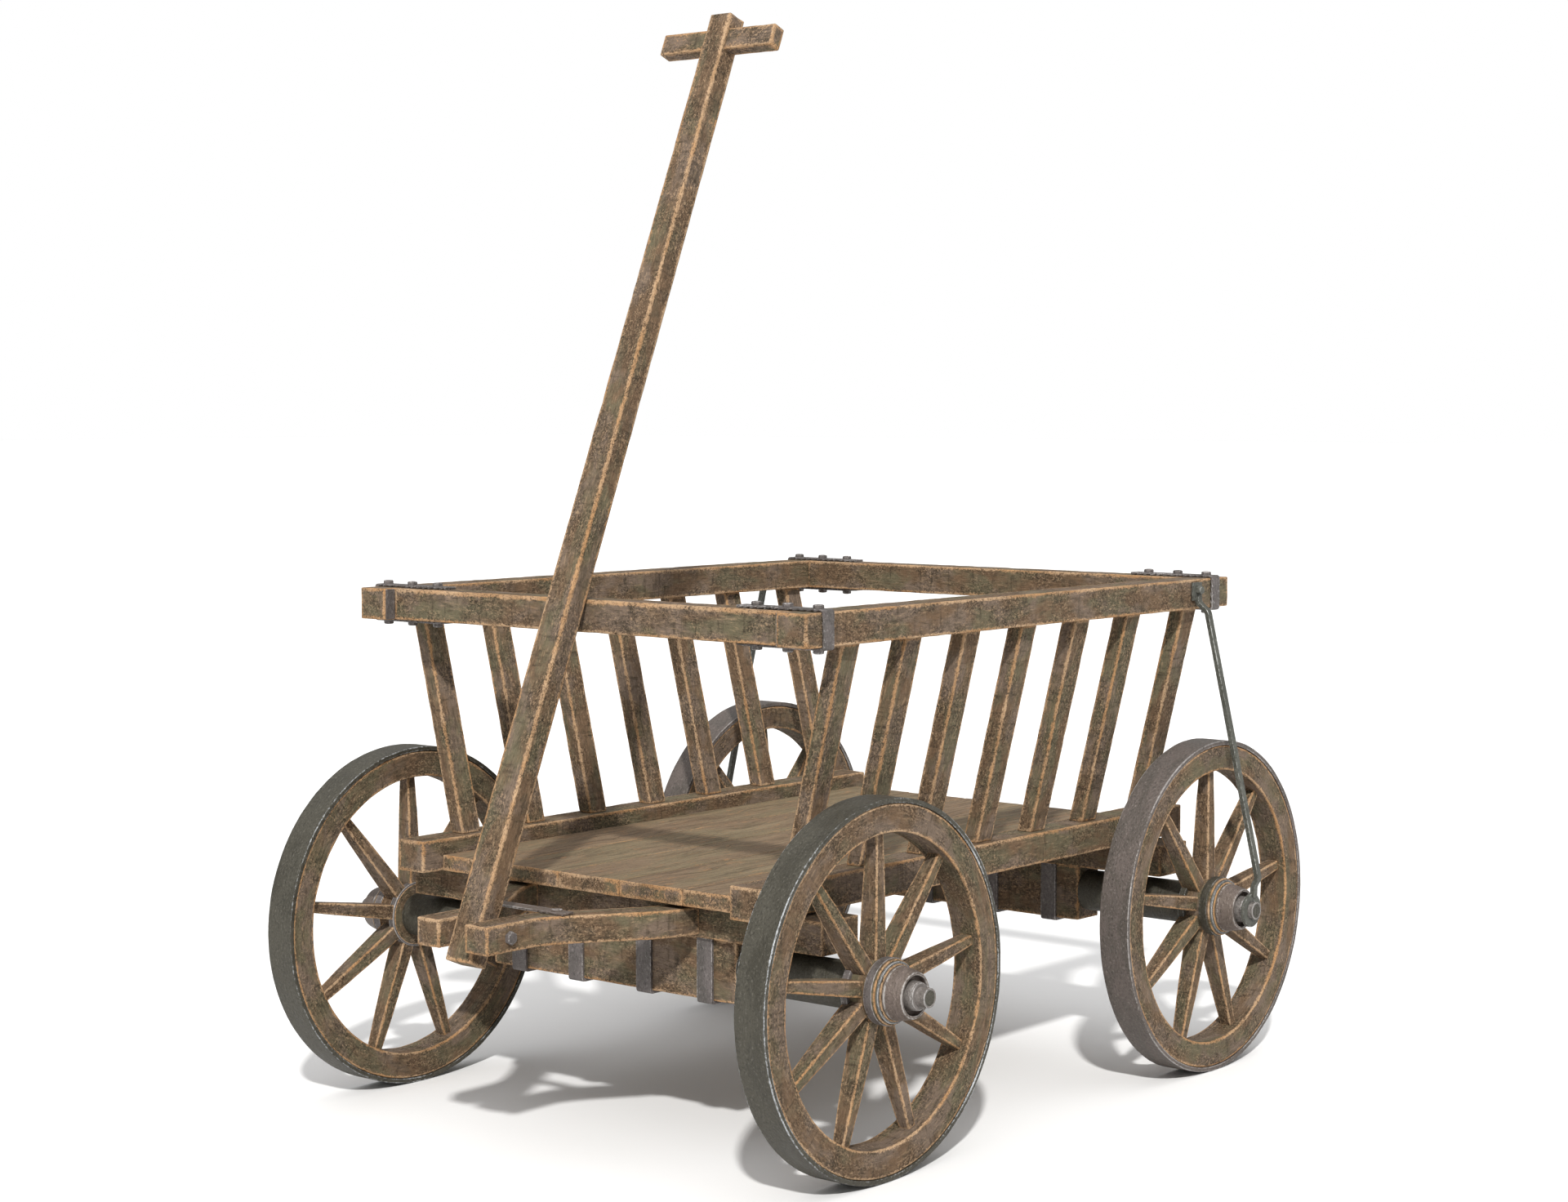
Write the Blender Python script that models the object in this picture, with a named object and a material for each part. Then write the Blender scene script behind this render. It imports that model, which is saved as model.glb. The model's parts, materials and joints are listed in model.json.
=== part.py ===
"""A wooden four-wheeled hand cart with slatted sides, a steered front axle and a drawbar.

Metres, +Z up, wheels on z = 0. The drawbar end faces -Y, and the cart's own left is +X.
"""

import math

import bmesh
import bpy
from mathutils import Vector

GAP = 0.0003  # between pieces that touch

# Wheels. A wheel's own frame has its axis along X, its middle plane at 0 and its outer side at +X.
WHEEL_R = 0.230
TYRE_WIDTH = 0.045
TYRE_THICK = 0.006
FELLOE_WIDTH = 0.042
FELLOE_INNER_R = 0.189
SPOKES = 9
SPOKE_HUB_X = (-0.0150, 0.0115)
SPOKE_RIM_X = (-0.0070, 0.0095)
SPOKE_HUB_THICK = 0.020
SPOKE_RIM_THICK = 0.013
NAVE_R = 0.0400
NAVE_INNER_R = 0.0440
NAVE_X = (-0.0165, 0.0366)
BORE_R = 0.0126
CAP_X = (0.0369, 0.0625)
CAP_R = (0.0330, 0.0285)
CAP_WALL = 0.0040
CAP_RECESS = 0.0100
RIM_SEGMENTS = 56
ROUND_SEGMENTS = 24

# Where the wheels stand.
WHEEL_X = 0.4025
WHEELBASE = 0.750
ARM_REACH = 0.3046  # the arms' front ends, ahead of the front axle
FRONT_AXLE_Y = ARM_REACH - (ARM_REACH + WHEELBASE + WHEEL_R) / 2
REAR_AXLE_Y = FRONT_AXLE_Y + WHEELBASE

# Axles: a round bar with a thick sleeve on each side and a nut in each nave cap.
AXLE_R = 0.0122
AXLE_HALF = 0.486
SLEEVE_R = 0.029
SLEEVE_X = (0.2106, 0.3856)
NUT_R = 0.018
NUT_X = (0.4556, 0.4725)

# Axle beds and bolsters, the same front and rear.
BED_HALF = (0.210, 0.026)
BED_Z = (0.1886, 0.2665)
BOLSTER_HALF = (0.352, 0.035)
FRONT_BOLSTER_TOP = 0.3085
CHAMFER = 0.0025
STRAP_WIDTH = 0.025
STRAP_THICK = 0.004
STRAP_X = (-0.161, -0.059, 0.059, 0.161)

# Body: two lower rails and a plank floor, seven leaning stakes a side, and the top frame.
PLATE_THICK = 0.002
PLATE_HALF = (0.305, 0.030)
KING_PIN_R = 0.008
KING_PIN_END = 0.2445
RAIL_X = (0.264, 0.311)
RAIL_Z = (FRONT_BOLSTER_TOP + PLATE_THICK + 2 * GAP, 0.3525)
RAIL_Y = (FRONT_AXLE_Y - 0.102, FRONT_AXLE_Y + 0.8355)
PLANKS = 5
PLANK_THICK = 0.021
PLANK_Y = (FRONT_AXLE_Y - 0.068, FRONT_AXLE_Y + 0.813)
TOP_X = (0.335, 0.381)
TOP_Z = (0.6405, 0.6820)
TOP_Y = (FRONT_AXLE_Y - 0.101, FRONT_AXLE_Y + 0.841)
HORN = 0.0176  # how far the side rails run past the cross rails
CROSS_RAIL_WIDTH = 0.0410
REST_CHAMFER = 0.0045  # the worn arris that the pole leans on
STAKES = 7
STAKE_SECTION = (0.0225, 0.0335)
STAKE_CHAMFER = 0.0012
STAKE_FIRST_Y = FRONT_AXLE_Y - 0.0014
STAKE_PITCH = 0.1235
STAKE_LAST_STEP = 0.1430

# Corner straps of the top frame, and the bolts through them.
CORNER_STRAP_WIDTH = 0.020
CORNER_STRAP_THICK = 0.0035
CORNER_STRAP_INNER_X = 0.250
CORNER_BOLT_X = (0.274, 0.322, 0.3685)
BOLT_R = 0.003
BOLT_HEAD_R = 0.0068
BOLT_HEAD_HIGH = 0.005

# Stays from the top side rails down to the ends of the rear axle.
STAY_Y = REAR_AXLE_Y + 0.004
STAY_R = 0.0052
STAY_TAB = (0.024, 0.025)
STAY_TAB_Z = 0.6655
STAY_EYE_R = 0.0235
STAY_EYE_X = (0.4745, 0.4795)

# Drawbar: two arms on the front bolster, and a pole pinned between their ends.
ARM_Z = (0.2715, 0.3063)
ARM_WIDTH = 0.038
ARM_ROOT_X = 0.139
ARM_TENON = 0.018
BRACE_Y = (-0.193, -0.173)
BRACE_HALF = 0.076
BRACE_THICK = 0.003
BRACE_BOLT_X = 0.057
PIVOT_Y = FRONT_AXLE_Y - 0.2668
PIVOT_Z = 0.289
PIVOT_R = 0.005
POLE_LEAN = math.radians(22.5)
POLE_S = (-0.0405, 1.2340)  # along the pole, from its pin
POLE_WIDTH = (0.0428, 0.0350)
POLE_THICK = 0.031
POLE_CHAMFER = 0.004
HANDLE_S = 1.196
HANDLE_HALF = 0.095
HANDLE_SECTION = (0.020, 0.030)
HANDLE_NOTCH_HALF = 0.0182


def material(name, colour, roughness, metallic):
    made = bpy.data.materials.new(name)
    made.use_nodes = True
    shader = made.node_tree.nodes["Principled BSDF"]
    shader.inputs["Base Color"].default_value = (*colour, 1.0)
    shader.inputs["Roughness"].default_value = roughness
    shader.inputs["Metallic"].default_value = metallic
    made.diffuse_color = (*colour, 1.0)
    return made


def loft(rings):
    """A closed solid through rings of points, all with the same number of points."""
    bm = bmesh.new()
    loops = [[bm.verts.new(point) for point in ring] for ring in rings]
    for low, high in zip(loops, loops[1:]):
        for i in range(len(low)):
            j = (i + 1) % len(low)
            bm.faces.new((low[i], low[j], high[j], high[i]))
    bm.faces.new(loops[0][::-1])
    bm.faces.new(loops[-1])
    bmesh.ops.recalc_face_normals(bm, faces=bm.faces)
    return bm


def chamfered(low, high, chamfer, last_chamfer=None):
    """A rectangle's outline with its four corners cut off. The corner at low x and high y can have its own cut."""
    (a, b), (c, d) = low, high
    k = chamfer
    m = k if last_chamfer is None else last_chamfer
    return [(a + k, b), (c - k, b), (c, b + k), (c, d - k), (c - k, d), (a + m, d), (a, d - m), (a, b + k)]


def on_axis(axis, along, across):
    """A point from its place along the X, Y or Z axis (0, 1 or 2) and the two other coordinates."""
    point = list(across)
    point.insert(axis, along)
    return tuple(point)


def prism(axis, ends, outline):
    return loft([[on_axis(axis, end, point) for point in outline] for end in ends])


def timber(axis, low, high, chamfer=CHAMFER):
    """A box between two corners, with the four edges along one axis chamfered."""
    others = [i for i in range(3) if i != axis]
    outline = chamfered([low[i] for i in others], [high[i] for i in others], chamfer)
    return prism(axis, (low[axis], high[axis]), outline)


def box(low, high):
    return prism(2, (low[2], high[2]), [(low[0], low[1]), (high[0], low[1]), (high[0], high[1]), (low[0], high[1])])


def disc(axis, ends, centre, radius, sides=12, turn=0.0):
    """A round or many-sided bar along an axis."""
    steps = [turn + math.tau * i / sides for i in range(sides)]
    outline = [(centre[0] + radius * math.cos(a), centre[1] + radius * math.sin(a)) for a in steps]
    return prism(axis, ends, outline)


def turned(profile, segments=ROUND_SEGMENTS):
    """A ring about the X axis from a closed profile of (x, radius) points."""
    bm = bmesh.new()
    rings = []
    for i in range(segments):
        angle = math.tau * i / segments
        rings.append([bm.verts.new((x, r * math.cos(angle), r * math.sin(angle))) for x, r in profile])
    for i in range(segments):
        here, there = rings[i], rings[(i + 1) % segments]
        for j in range(len(profile)):
            k = (j + 1) % len(profile)
            bm.faces.new((here[j], here[k], there[k], there[j]))
    bmesh.ops.recalc_face_normals(bm, faces=bm.faces)
    return bm


def turned_bar(profile, segments=ROUND_SEGMENTS):
    """A solid bar about the X axis from (x, radius) points, running from end to end."""
    steps = [math.tau * i / segments for i in range(segments)]
    return loft([[(x, r * math.cos(a), r * math.sin(a)) for a in steps] for x, r in profile])


def bent_strip(path, thickness):
    """The outline of a strip that follows a path of square bends, with its thickness on the left side."""
    outer = []
    for i, point in enumerate(path):
        here = Vector(point)
        before = (here - Vector(path[i - 1])).normalized() if i else None
        after = (Vector(path[i + 1]) - here).normalized() if i + 1 < len(path) else None
        sides = [Vector((-d.y, d.x)) for d in (before, after) if d is not None]
        corner = sides[0] if len(sides) == 1 else sides[0] + sides[1]
        outer.append(tuple(here + corner * thickness))
    return list(path) + outer[::-1]


def sweep_in_xz(path, y, radius, sides=8):
    """A round bar along a path of (x, z) points at one y."""
    rings = []
    for i, (x, z) in enumerate(path):
        before = Vector(path[max(i - 1, 0)])
        after = Vector(path[min(i + 1, len(path) - 1)])
        along = (after - before).normalized()
        ring = []
        for k in range(sides):
            angle = math.tau * (k + 0.5) / sides
            side = radius * math.cos(angle)
            ring.append((x - along.y * side, y + radius * math.sin(angle), z + along.x * side))
        rings.append(ring)
    return loft(rings)


def mesh_object(name, bm):
    mesh = bpy.data.meshes.new(name)
    bm.to_mesh(mesh)
    bm.free()
    made = bpy.data.objects.new(name, mesh)
    bpy.context.scene.collection.objects.link(made)
    return made


def solid(name, base, finish, parent=None, joined=(), cut=()):
    """One named piece: a base shape, with others joined to it and others cut from it."""
    made = mesh_object(name, base)
    helpers = []
    for operation, shapes in (("UNION", joined), ("DIFFERENCE", cut)):
        for shape in shapes:
            helper = mesh_object(f"{name}_{operation.lower()}", shape)
            helper.hide_render = True
            helper.display_type = "WIRE"
            step = made.modifiers.new(operation.title(), "BOOLEAN")
            step.operation = operation
            step.solver = "EXACT"
            step.object = helper
            helpers.append(helper)
    if helpers:
        graph = bpy.context.evaluated_depsgraph_get()
        graph.update()
        made.data = bpy.data.meshes.new_from_object(made.evaluated_get(graph))
        made.modifiers.clear()
        for helper in helpers:
            bpy.data.objects.remove(helper)
    made.data.name = name
    made.data.shade_smooth()
    made.data.set_sharp_from_angle(angle=math.radians(35))
    made.data.materials.clear()
    made.data.materials.append(finish)
    made.parent = parent
    return made


def copy_of(piece, name, parent):
    """Another object with the same mesh."""
    made = bpy.data.objects.new(name, piece.data)
    bpy.context.scene.collection.objects.link(made)
    made.parent = parent
    return made


def joint_empty(name, place, turn=(0.0, 0.0, 0.0), parent=None):
    made = bpy.data.objects.new(name, None)
    bpy.context.scene.collection.objects.link(made)
    made.location = place
    made.rotation_euler = turn
    made.parent = parent
    return made


def tyre(name, finish, parent):
    half = TYRE_WIDTH / 2
    inner = WHEEL_R - TYRE_THICK
    worn = 0.0015
    profile = [(-half, inner), (half, inner), (half, WHEEL_R - worn), (half - worn, WHEEL_R)]
    profile += [(worn - half, WHEEL_R), (-half, WHEEL_R - worn)]
    return solid(name, turned(profile, RIM_SEGMENTS), finish, parent)


def spoke(angle):
    """A tapered spoke from inside the nave to just inside the felloe ring."""
    outward = Vector((0.0, math.cos(angle), math.sin(angle)))
    sideways = Vector((0.0, -math.sin(angle), math.cos(angle)))
    rings = []
    stations = ((NAVE_R - 0.012, SPOKE_HUB_X, SPOKE_HUB_THICK), (FELLOE_INNER_R + 0.006, SPOKE_RIM_X, SPOKE_RIM_THICK))
    for radius, (inner, outer), thick in stations:
        outline = chamfered((inner, -thick / 2), (outer, thick / 2), CHAMFER)
        rings.append([outward * radius + sideways * t + Vector((x, 0.0, 0.0)) for x, t in outline])
    return loft(rings)


def wooden_wheel(name, finish, parent):
    """Felloe ring, nave and spokes. One spoke points straight up."""
    half = FELLOE_WIDTH / 2
    outer = WHEEL_R - TYRE_THICK - 2 * GAP
    worn = 0.002
    felloe = [(-half, outer), (-half, FELLOE_INNER_R + worn), (worn - half, FELLOE_INNER_R)]
    felloe += [(half - worn, FELLOE_INNER_R), (half, FELLOE_INNER_R + worn), (half, outer)]
    inner_end, outer_end = NAVE_X
    nave = [(inner_end, BORE_R), (inner_end, NAVE_INNER_R), (inner_end + 0.010, NAVE_INNER_R)]
    nave += [(inner_end + 0.012, NAVE_R - 0.0015), (0.0150, NAVE_R - 0.0015), (0.0155, NAVE_R + 0.0006)]
    nave += [(0.0290, NAVE_R + 0.0006), (0.0305, 0.0372), (0.0345, 0.0368), (0.0350, 0.0342), (outer_end, 0.0336)]
    nave += [(outer_end, BORE_R)]
    spokes = [spoke(math.pi / 2 + math.tau * i / SPOKES) for i in range(SPOKES)]
    return solid(name, turned(felloe, RIM_SEGMENTS), finish, parent, joined=[turned(nave)] + spokes)


def nave_cap(name, finish, parent):
    """An iron cup over the nave's outer end, with a recess for the axle's nut."""
    (back, front), (back_r, front_r) = CAP_X, CAP_R
    inside = front_r - CAP_WALL
    floor = front - CAP_RECESS
    profile = [(back, BORE_R), (back, back_r), (front - 0.003, front_r + 0.0004), (front, front_r - 0.001)]
    profile += [(front, inside), (floor, inside), (floor, BORE_R)]
    return solid(name, turned(profile), finish, parent)


def axle(name, finish, parent):
    """Half a turned profile, mirrored: nut, journal, sleeve, and the bar inside the bed."""
    half = [(AXLE_HALF, AXLE_R - 0.0015), (AXLE_HALF - 0.0015, AXLE_R), (NUT_X[1], AXLE_R)]
    half += [(NUT_X[1], NUT_R - 0.0015), (NUT_X[1] - 0.0015, NUT_R), (NUT_X[0], NUT_R), (NUT_X[0], AXLE_R)]
    half += [(SLEEVE_X[1], AXLE_R), (SLEEVE_X[1], SLEEVE_R), (SLEEVE_X[0], SLEEVE_R), (SLEEVE_X[0], AXLE_R)]
    profile = half + [(-x, r) for x, r in reversed(half)]
    made = solid(name, turned_bar(profile), finish, parent)
    made.location.z = WHEEL_R
    return made


def axle_bed(name, finish, parent, cut=()):
    half_x, half_y = BED_HALF
    bore = disc(0, (-0.25, 0.25), (0.0, WHEEL_R), AXLE_R + GAP, ROUND_SEGMENTS)
    bed = timber(0, (-half_x, -half_y, BED_Z[0]), (half_x, half_y, BED_Z[1]))
    return solid(name, bed, finish, parent, cut=[bore, *cut])


def bolster(name, top, finish, parent, cut=()):
    half_x, half_y = BOLSTER_HALF
    beam = timber(0, (-half_x, -half_y, BED_Z[1] + GAP), (half_x, half_y, top))
    return solid(name, beam, finish, parent, cut=cut)


def axle_strap(name, x, finish, parent):
    """A flat iron clip round the front, underside and back of an axle bed."""
    y = BED_HALF[1] + GAP
    bottom = BED_Z[0] - GAP
    path = [(y, BED_Z[1]), (y, bottom), (-y, bottom), (-y, BED_Z[1])]
    outline = bent_strip(path[::-1], -STRAP_THICK)
    sides = (x - STRAP_WIDTH / 2, x + STRAP_WIDTH / 2)
    return solid(name, prism(0, sides, outline), finish, parent)


def arm(name, side, finish, parent):
    """A curved arm from the bolster, closing in to lie beside the pole. Its tenon goes through the bolster."""
    tip_x = POLE_WIDTH[0] / 2 + 0.0007 + ARM_WIDTH / 2
    tip_y = -ARM_REACH
    root_y = -BOLSTER_HALF[1] - GAP
    straight_to = -0.235
    rings = []
    steps = 8
    stations = [(tip_x, tip_y)]
    for i in range(steps + 1):
        t = i / steps
        ease = t * t * (3 - 2 * t)
        stations.append((tip_x + (ARM_ROOT_X - tip_x) * ease, straight_to + (root_y - straight_to) * t))
    for i, (x, y) in enumerate(stations):
        before = Vector(stations[max(i - 1, 0)])
        after = Vector(stations[min(i + 1, len(stations) - 1)])
        along = (after - before).normalized()
        if i in (0, len(stations) - 1):
            along = Vector((0.0, 1.0))
        across = Vector((along.y, -along.x)) * (ARM_WIDTH / 2)
        corners = ((-1, ARM_Z[0]), (1, ARM_Z[0]), (1, ARM_Z[1]), (-1, ARM_Z[1]))
        rings.append([(side * (x + across.x * s), y + across.y * s, z) for s, z in corners])
    half = ARM_TENON / 2
    middle = sum(ARM_Z) / 2
    root = side * ARM_ROOT_X
    tenon = box((root - half, root_y - 0.01, middle - half), (root + half, BOLSTER_HALF[1], middle + half))
    hole = disc(0, (-0.09, 0.09), (PIVOT_Y - FRONT_AXLE_Y, PIVOT_Z), PIVOT_R + GAP)
    bolt_y = sum(BRACE_Y) / 2
    bolt_hole = disc(2, (0.25, 0.33), (side * BRACE_BOLT_X, bolt_y), BOLT_R + GAP)
    return solid(name, loft(rings), finish, parent, joined=[tenon], cut=[hole, bolt_hole])


def arm_mortises():
    """The holes in the front bolster for the arms' tenons and for the king pin."""
    half = ARM_TENON / 2 + GAP
    middle = sum(ARM_Z) / 2
    cuts = []
    for side in (-1, 1):
        root = side * ARM_ROOT_X
        cuts.append(box((root - half, -0.05, middle - half), (root + half, 0.05, middle + half)))
    cuts.append(disc(2, (0.2, 0.4), (0.0, 0.0), KING_PIN_R + GAP, 16))
    return cuts


def arm_brace(finish, parent):
    """A flat iron strip across both arms, with a rivet through each."""
    low = (-BRACE_HALF, BRACE_Y[0], ARM_Z[1] + GAP)
    high = (BRACE_HALF, BRACE_Y[1], ARM_Z[1] + GAP + BRACE_THICK)
    middle = sum(BRACE_Y) / 2
    bolts = []
    for side in (-1, 1):
        place = (side * BRACE_BOLT_X, middle)
        bolts.append(disc(2, (ARM_Z[0] + 0.0005, high[2]), place, BOLT_R, 8))
        bolts.append(disc(2, (high[2] - 0.001, high[2] + 0.003), place, BOLT_HEAD_R, 8))
    return solid("arm_brace", box(low, high), finish, parent, joined=bolts)


def king_pin(finish):
    """The sole plate under the floor, with the pin that the front axle turns on."""
    half_x, half_y = PLATE_HALF
    low = (-half_x, FRONT_AXLE_Y - half_y, FRONT_BOLSTER_TOP + GAP)
    high = (half_x, FRONT_AXLE_Y + half_y, FRONT_BOLSTER_TOP + GAP + PLATE_THICK)
    pin = disc(2, (KING_PIN_END, high[2] - 0.0005), (0.0, FRONT_AXLE_Y), KING_PIN_R, 16)
    return solid("king_pin", box(low, high), finish, joined=[pin])


def corner_strap(name, side, y, finish):
    """An iron U over, round and under a corner of the top frame, with three bolts."""
    outer = TOP_X[1] + GAP
    low, high = TOP_Z[0] - GAP, TOP_Z[1] + GAP
    path = [(CORNER_STRAP_INNER_X, high), (outer, high), (outer, low), (CORNER_STRAP_INNER_X, low)]
    outline = [(side * x, z) for x, z in bent_strip(path, CORNER_STRAP_THICK)]
    half = CORNER_STRAP_WIDTH / 2
    top, bottom = high + CORNER_STRAP_THICK, low - CORNER_STRAP_THICK
    bolts = []
    for x in CORNER_BOLT_X:
        place = (side * x, y)
        bolts.append(disc(2, (low - 0.001, high + 0.001), place, BOLT_R, 8))
        bolts.append(disc(2, (top - 0.001, top + BOLT_HEAD_HIGH), place, BOLT_HEAD_R, 6))
        bolts.append(disc(2, (bottom - BOLT_HEAD_HIGH, bottom + 0.001), place, BOLT_HEAD_R, 6))
    return solid(name, prism(1, (y - half, y + half), outline), finish, joined=bolts)


def stay(name, side, finish):
    """A rod from a tab on the top side rail down to an eye round the axle's end."""
    inner = TOP_X[1] + GAP
    tab_thick = 0.0035
    width, high = STAY_TAB
    low_corner = (inner, STAY_Y - width / 2, STAY_TAB_Z - high / 2)
    tab = box(low_corner, (inner + tab_thick, STAY_Y + width / 2, STAY_TAB_Z + high / 2))
    bend_z = STAY_TAB_Z - high / 2
    foot_z = WHEEL_R + STAY_EYE_R + 0.008
    path = [(inner + STAY_R, STAY_TAB_Z), (inner + STAY_R, bend_z), (0.4015, 0.6380), (0.4850, 0.2800)]
    path += [(0.4862, foot_z), (0.4790, WHEEL_R + STAY_EYE_R - 0.004)]
    rod = sweep_in_xz(path, STAY_Y, STAY_R)
    eye = disc(0, STAY_EYE_X, (REAR_AXLE_Y, WHEEL_R), STAY_EYE_R, ROUND_SEGMENTS)
    hole = disc(0, (0.46, 0.50), (REAR_AXLE_Y, WHEEL_R), AXLE_R + GAP, ROUND_SEGMENTS)
    bolt = disc(0, (inner + 0.001, inner + 0.0125), (STAY_Y, STAY_TAB_Z + 0.002), 0.0055, 8)
    shapes = [rod, eye, bolt]
    cuts = [hole]
    if side < 0:
        for bm in (tab, *shapes, *cuts):
            bmesh.ops.scale(bm, vec=(-1.0, 1.0, 1.0), verts=bm.verts)
            bmesh.ops.reverse_faces(bm, faces=bm.faces)
    return solid(name, tab, finish, joined=shapes, cut=cuts)


def stake(name, side, y, finish):
    """A square stake leaning outward from the lower rail to the top rail."""
    thick, wide = STAKE_SECTION
    rings = []
    for rail, z in ((RAIL_X, RAIL_Z[1] + GAP), (TOP_X, TOP_Z[0] - GAP)):
        x = sum(rail) / 2
        outline = chamfered((x - thick / 2, y - wide / 2), (x + thick / 2, y + wide / 2), STAKE_CHAMFER)
        rings.append([(side * px, py, z) for px, py in outline])
    return solid(name, loft(rings), finish)


def bolt_holes(xs, y):
    return [disc(2, (TOP_Z[0] - 0.02, TOP_Z[1] + 0.02), (x, y), BOLT_R + GAP, 8) for x in xs]


def cross_rail_middles():
    """The Y of the front and the rear cross rail."""
    inset = HORN + CROSS_RAIL_WIDTH / 2
    return TOP_Y[0] + inset, TOP_Y[1] - inset


def top_frame(wood):
    front, rear = cross_rail_middles()
    for word, side in (("left", 1), ("right", -1)):
        low_x, high_x = sorted((side * TOP_X[0], side * TOP_X[1]))
        rail = timber(1, (low_x, TOP_Y[0], TOP_Z[0]), (high_x, TOP_Y[1], TOP_Z[1]))
        outer_bolt = [side * CORNER_BOLT_X[2]]
        holes = bolt_holes(outer_bolt, front) + bolt_holes(outer_bolt, rear)
        solid(f"top_rail_{word}", rail, wood, cut=holes)
    half = CROSS_RAIL_WIDTH / 2
    reach = TOP_X[0] - GAP
    inner_bolts = [side * x for side in (-1, 1) for x in CORNER_BOLT_X[:2]]
    for word, y, arris in (("front", front, REST_CHAMFER), ("rear", rear, CHAMFER)):
        outline = chamfered((y - half, TOP_Z[0]), (y + half, TOP_Z[1]), CHAMFER, arris)
        solid(f"top_rail_{word}", prism(0, (-reach, reach), outline), wood, cut=bolt_holes(inner_bolts, y))


def floor(rail_wood, plank_wood):
    for word, side in (("left", 1), ("right", -1)):
        low_x, high_x = sorted((side * RAIL_X[0], side * RAIL_X[1]))
        rail = timber(1, (low_x, RAIL_Y[0], RAIL_Z[0]), (high_x, RAIL_Y[1], RAIL_Z[1]))
        solid(f"bottom_rail_{word}", rail, rail_wood)
    inner = RAIL_X[0] - GAP
    pitch = 2 * inner / PLANKS
    for i in range(PLANKS):
        low_x = -inner + i * pitch
        low = (low_x + 0.0005, PLANK_Y[0], RAIL_Z[0])
        high = (low_x + pitch - 0.0005, PLANK_Y[1], RAIL_Z[0] + PLANK_THICK)
        solid(f"floor_plank_{i + 1}", timber(1, low, high, 0.0015), plank_wood)


def stakes(wood):
    places = [STAKE_FIRST_Y + STAKE_PITCH * i for i in range(STAKES - 1)]
    places.append(places[-1] + STAKE_LAST_STEP)
    for word, side in (("left", 1), ("right", -1)):
        for i, y in enumerate(places):
            stake(f"stake_{word}_{i + 1}", side, y, wood)


def wheels(wood, iron, steering):
    """Four wheels, each under an empty at its centre. The front pair turns with the front axle."""
    first = None
    for where, parent, y in (("front", steering, 0.0), ("rear", None, REAR_AXLE_Y)):
        for word, side in (("left", 1), ("right", -1)):
            turn = (0.0, 0.0, 0.0 if side > 0 else math.pi)
            hub = joint_empty(f"hub_{where}_{word}", (side * WHEEL_X, y, WHEEL_R), turn, parent)
            names = [f"{piece}_{where}_{word}" for piece in ("tyre", "wheel", "nave_cap")]
            if first is None:
                first = [tyre(names[0], iron, hub), wooden_wheel(names[1], wood, hub), nave_cap(names[2], iron, hub)]
            else:
                for piece, name in zip(first, names):
                    copy_of(piece, name, hub)


def front_gear(wood, iron, steering):
    pin_hole = disc(2, (KING_PIN_END - 0.001, 0.4), (0.0, 0.0), KING_PIN_R + GAP, 16)
    axle_bed("front_axle_bed", wood, steering, cut=[pin_hole])
    bolster("front_bolster", FRONT_BOLSTER_TOP, wood, steering, cut=arm_mortises())
    axle("front_axle", iron, steering)
    for i, x in enumerate(STRAP_X):
        axle_strap(f"axle_strap_{i + 1}", x, iron, steering)
    arm("drawbar_arm_left", 1, wood, steering)
    arm("drawbar_arm_right", -1, wood, steering)
    arm_brace(iron, steering)


def rear_gear(wood, iron):
    pieces = [axle_bed("rear_axle_bed", wood, None)]
    pieces.append(bolster("rear_bolster", RAIL_Z[0] - GAP, wood, None))
    pieces.append(axle("rear_axle", iron, None))
    for piece in pieces:
        piece.location.y = REAR_AXLE_Y


def drawbar(wood, iron, steering):
    """The pole, its handle and its pin, in a frame with Z along the pole and its origin on the pin."""
    place = (0.0, PIVOT_Y - FRONT_AXLE_Y, PIVOT_Z)
    pivot = joint_empty("drawbar_pivot", place, (-POLE_LEAN, 0.0, 0.0), steering)
    half = POLE_THICK / 2
    rings = []
    for s, width in zip(POLE_S, POLE_WIDTH):
        outline = chamfered((-width / 2, -half), (width / 2, half), POLE_CHAMFER)
        rings.append([(x, y, s) for x, y in outline])
    deep, high = HANDLE_SECTION
    low_s, high_s = HANDLE_S - high / 2, HANDLE_S + high / 2
    slot = box((-0.05, -deep / 2 - GAP, low_s - GAP), (0.05, deep / 2 + GAP, high_s + GAP))
    pin_hole = disc(0, (-0.05, 0.05), (0.0, 0.0), PIVOT_R + GAP)
    solid("drawbar_pole", loft(rings), wood, pivot, cut=[slot, pin_hole])
    grip = timber(0, (-HANDLE_HALF, -deep / 2, low_s), (HANDLE_HALF, deep / 2, high_s))
    # Shallow notches, a little wider than the pole, lock the bar in its mortise.
    notches = []
    for face in (-1, 1):
        near, far = sorted((face * (deep / 2 - 0.0005), face * deep))
        notches.append(box((-HANDLE_NOTCH_HALF, near, low_s - deep), (HANDLE_NOTCH_HALF, far, high_s + deep)))
    solid("drawbar_handle", grip, wood, pivot, cut=notches)
    outside = POLE_WIDTH[0] / 2 + 0.0007 + ARM_WIDTH + GAP
    shank = disc(0, (-outside - 0.001, outside + 0.001), (0.0, 0.0), PIVOT_R)
    head = disc(0, (outside, outside + 0.006), (0.0, 0.0), 0.0085, 6)
    nut = disc(0, (-outside - 0.007, -outside), (0.0, 0.0), 0.0085, 6)
    solid("drawbar_pin", shank, iron, pivot, joined=[head, nut])


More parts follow.
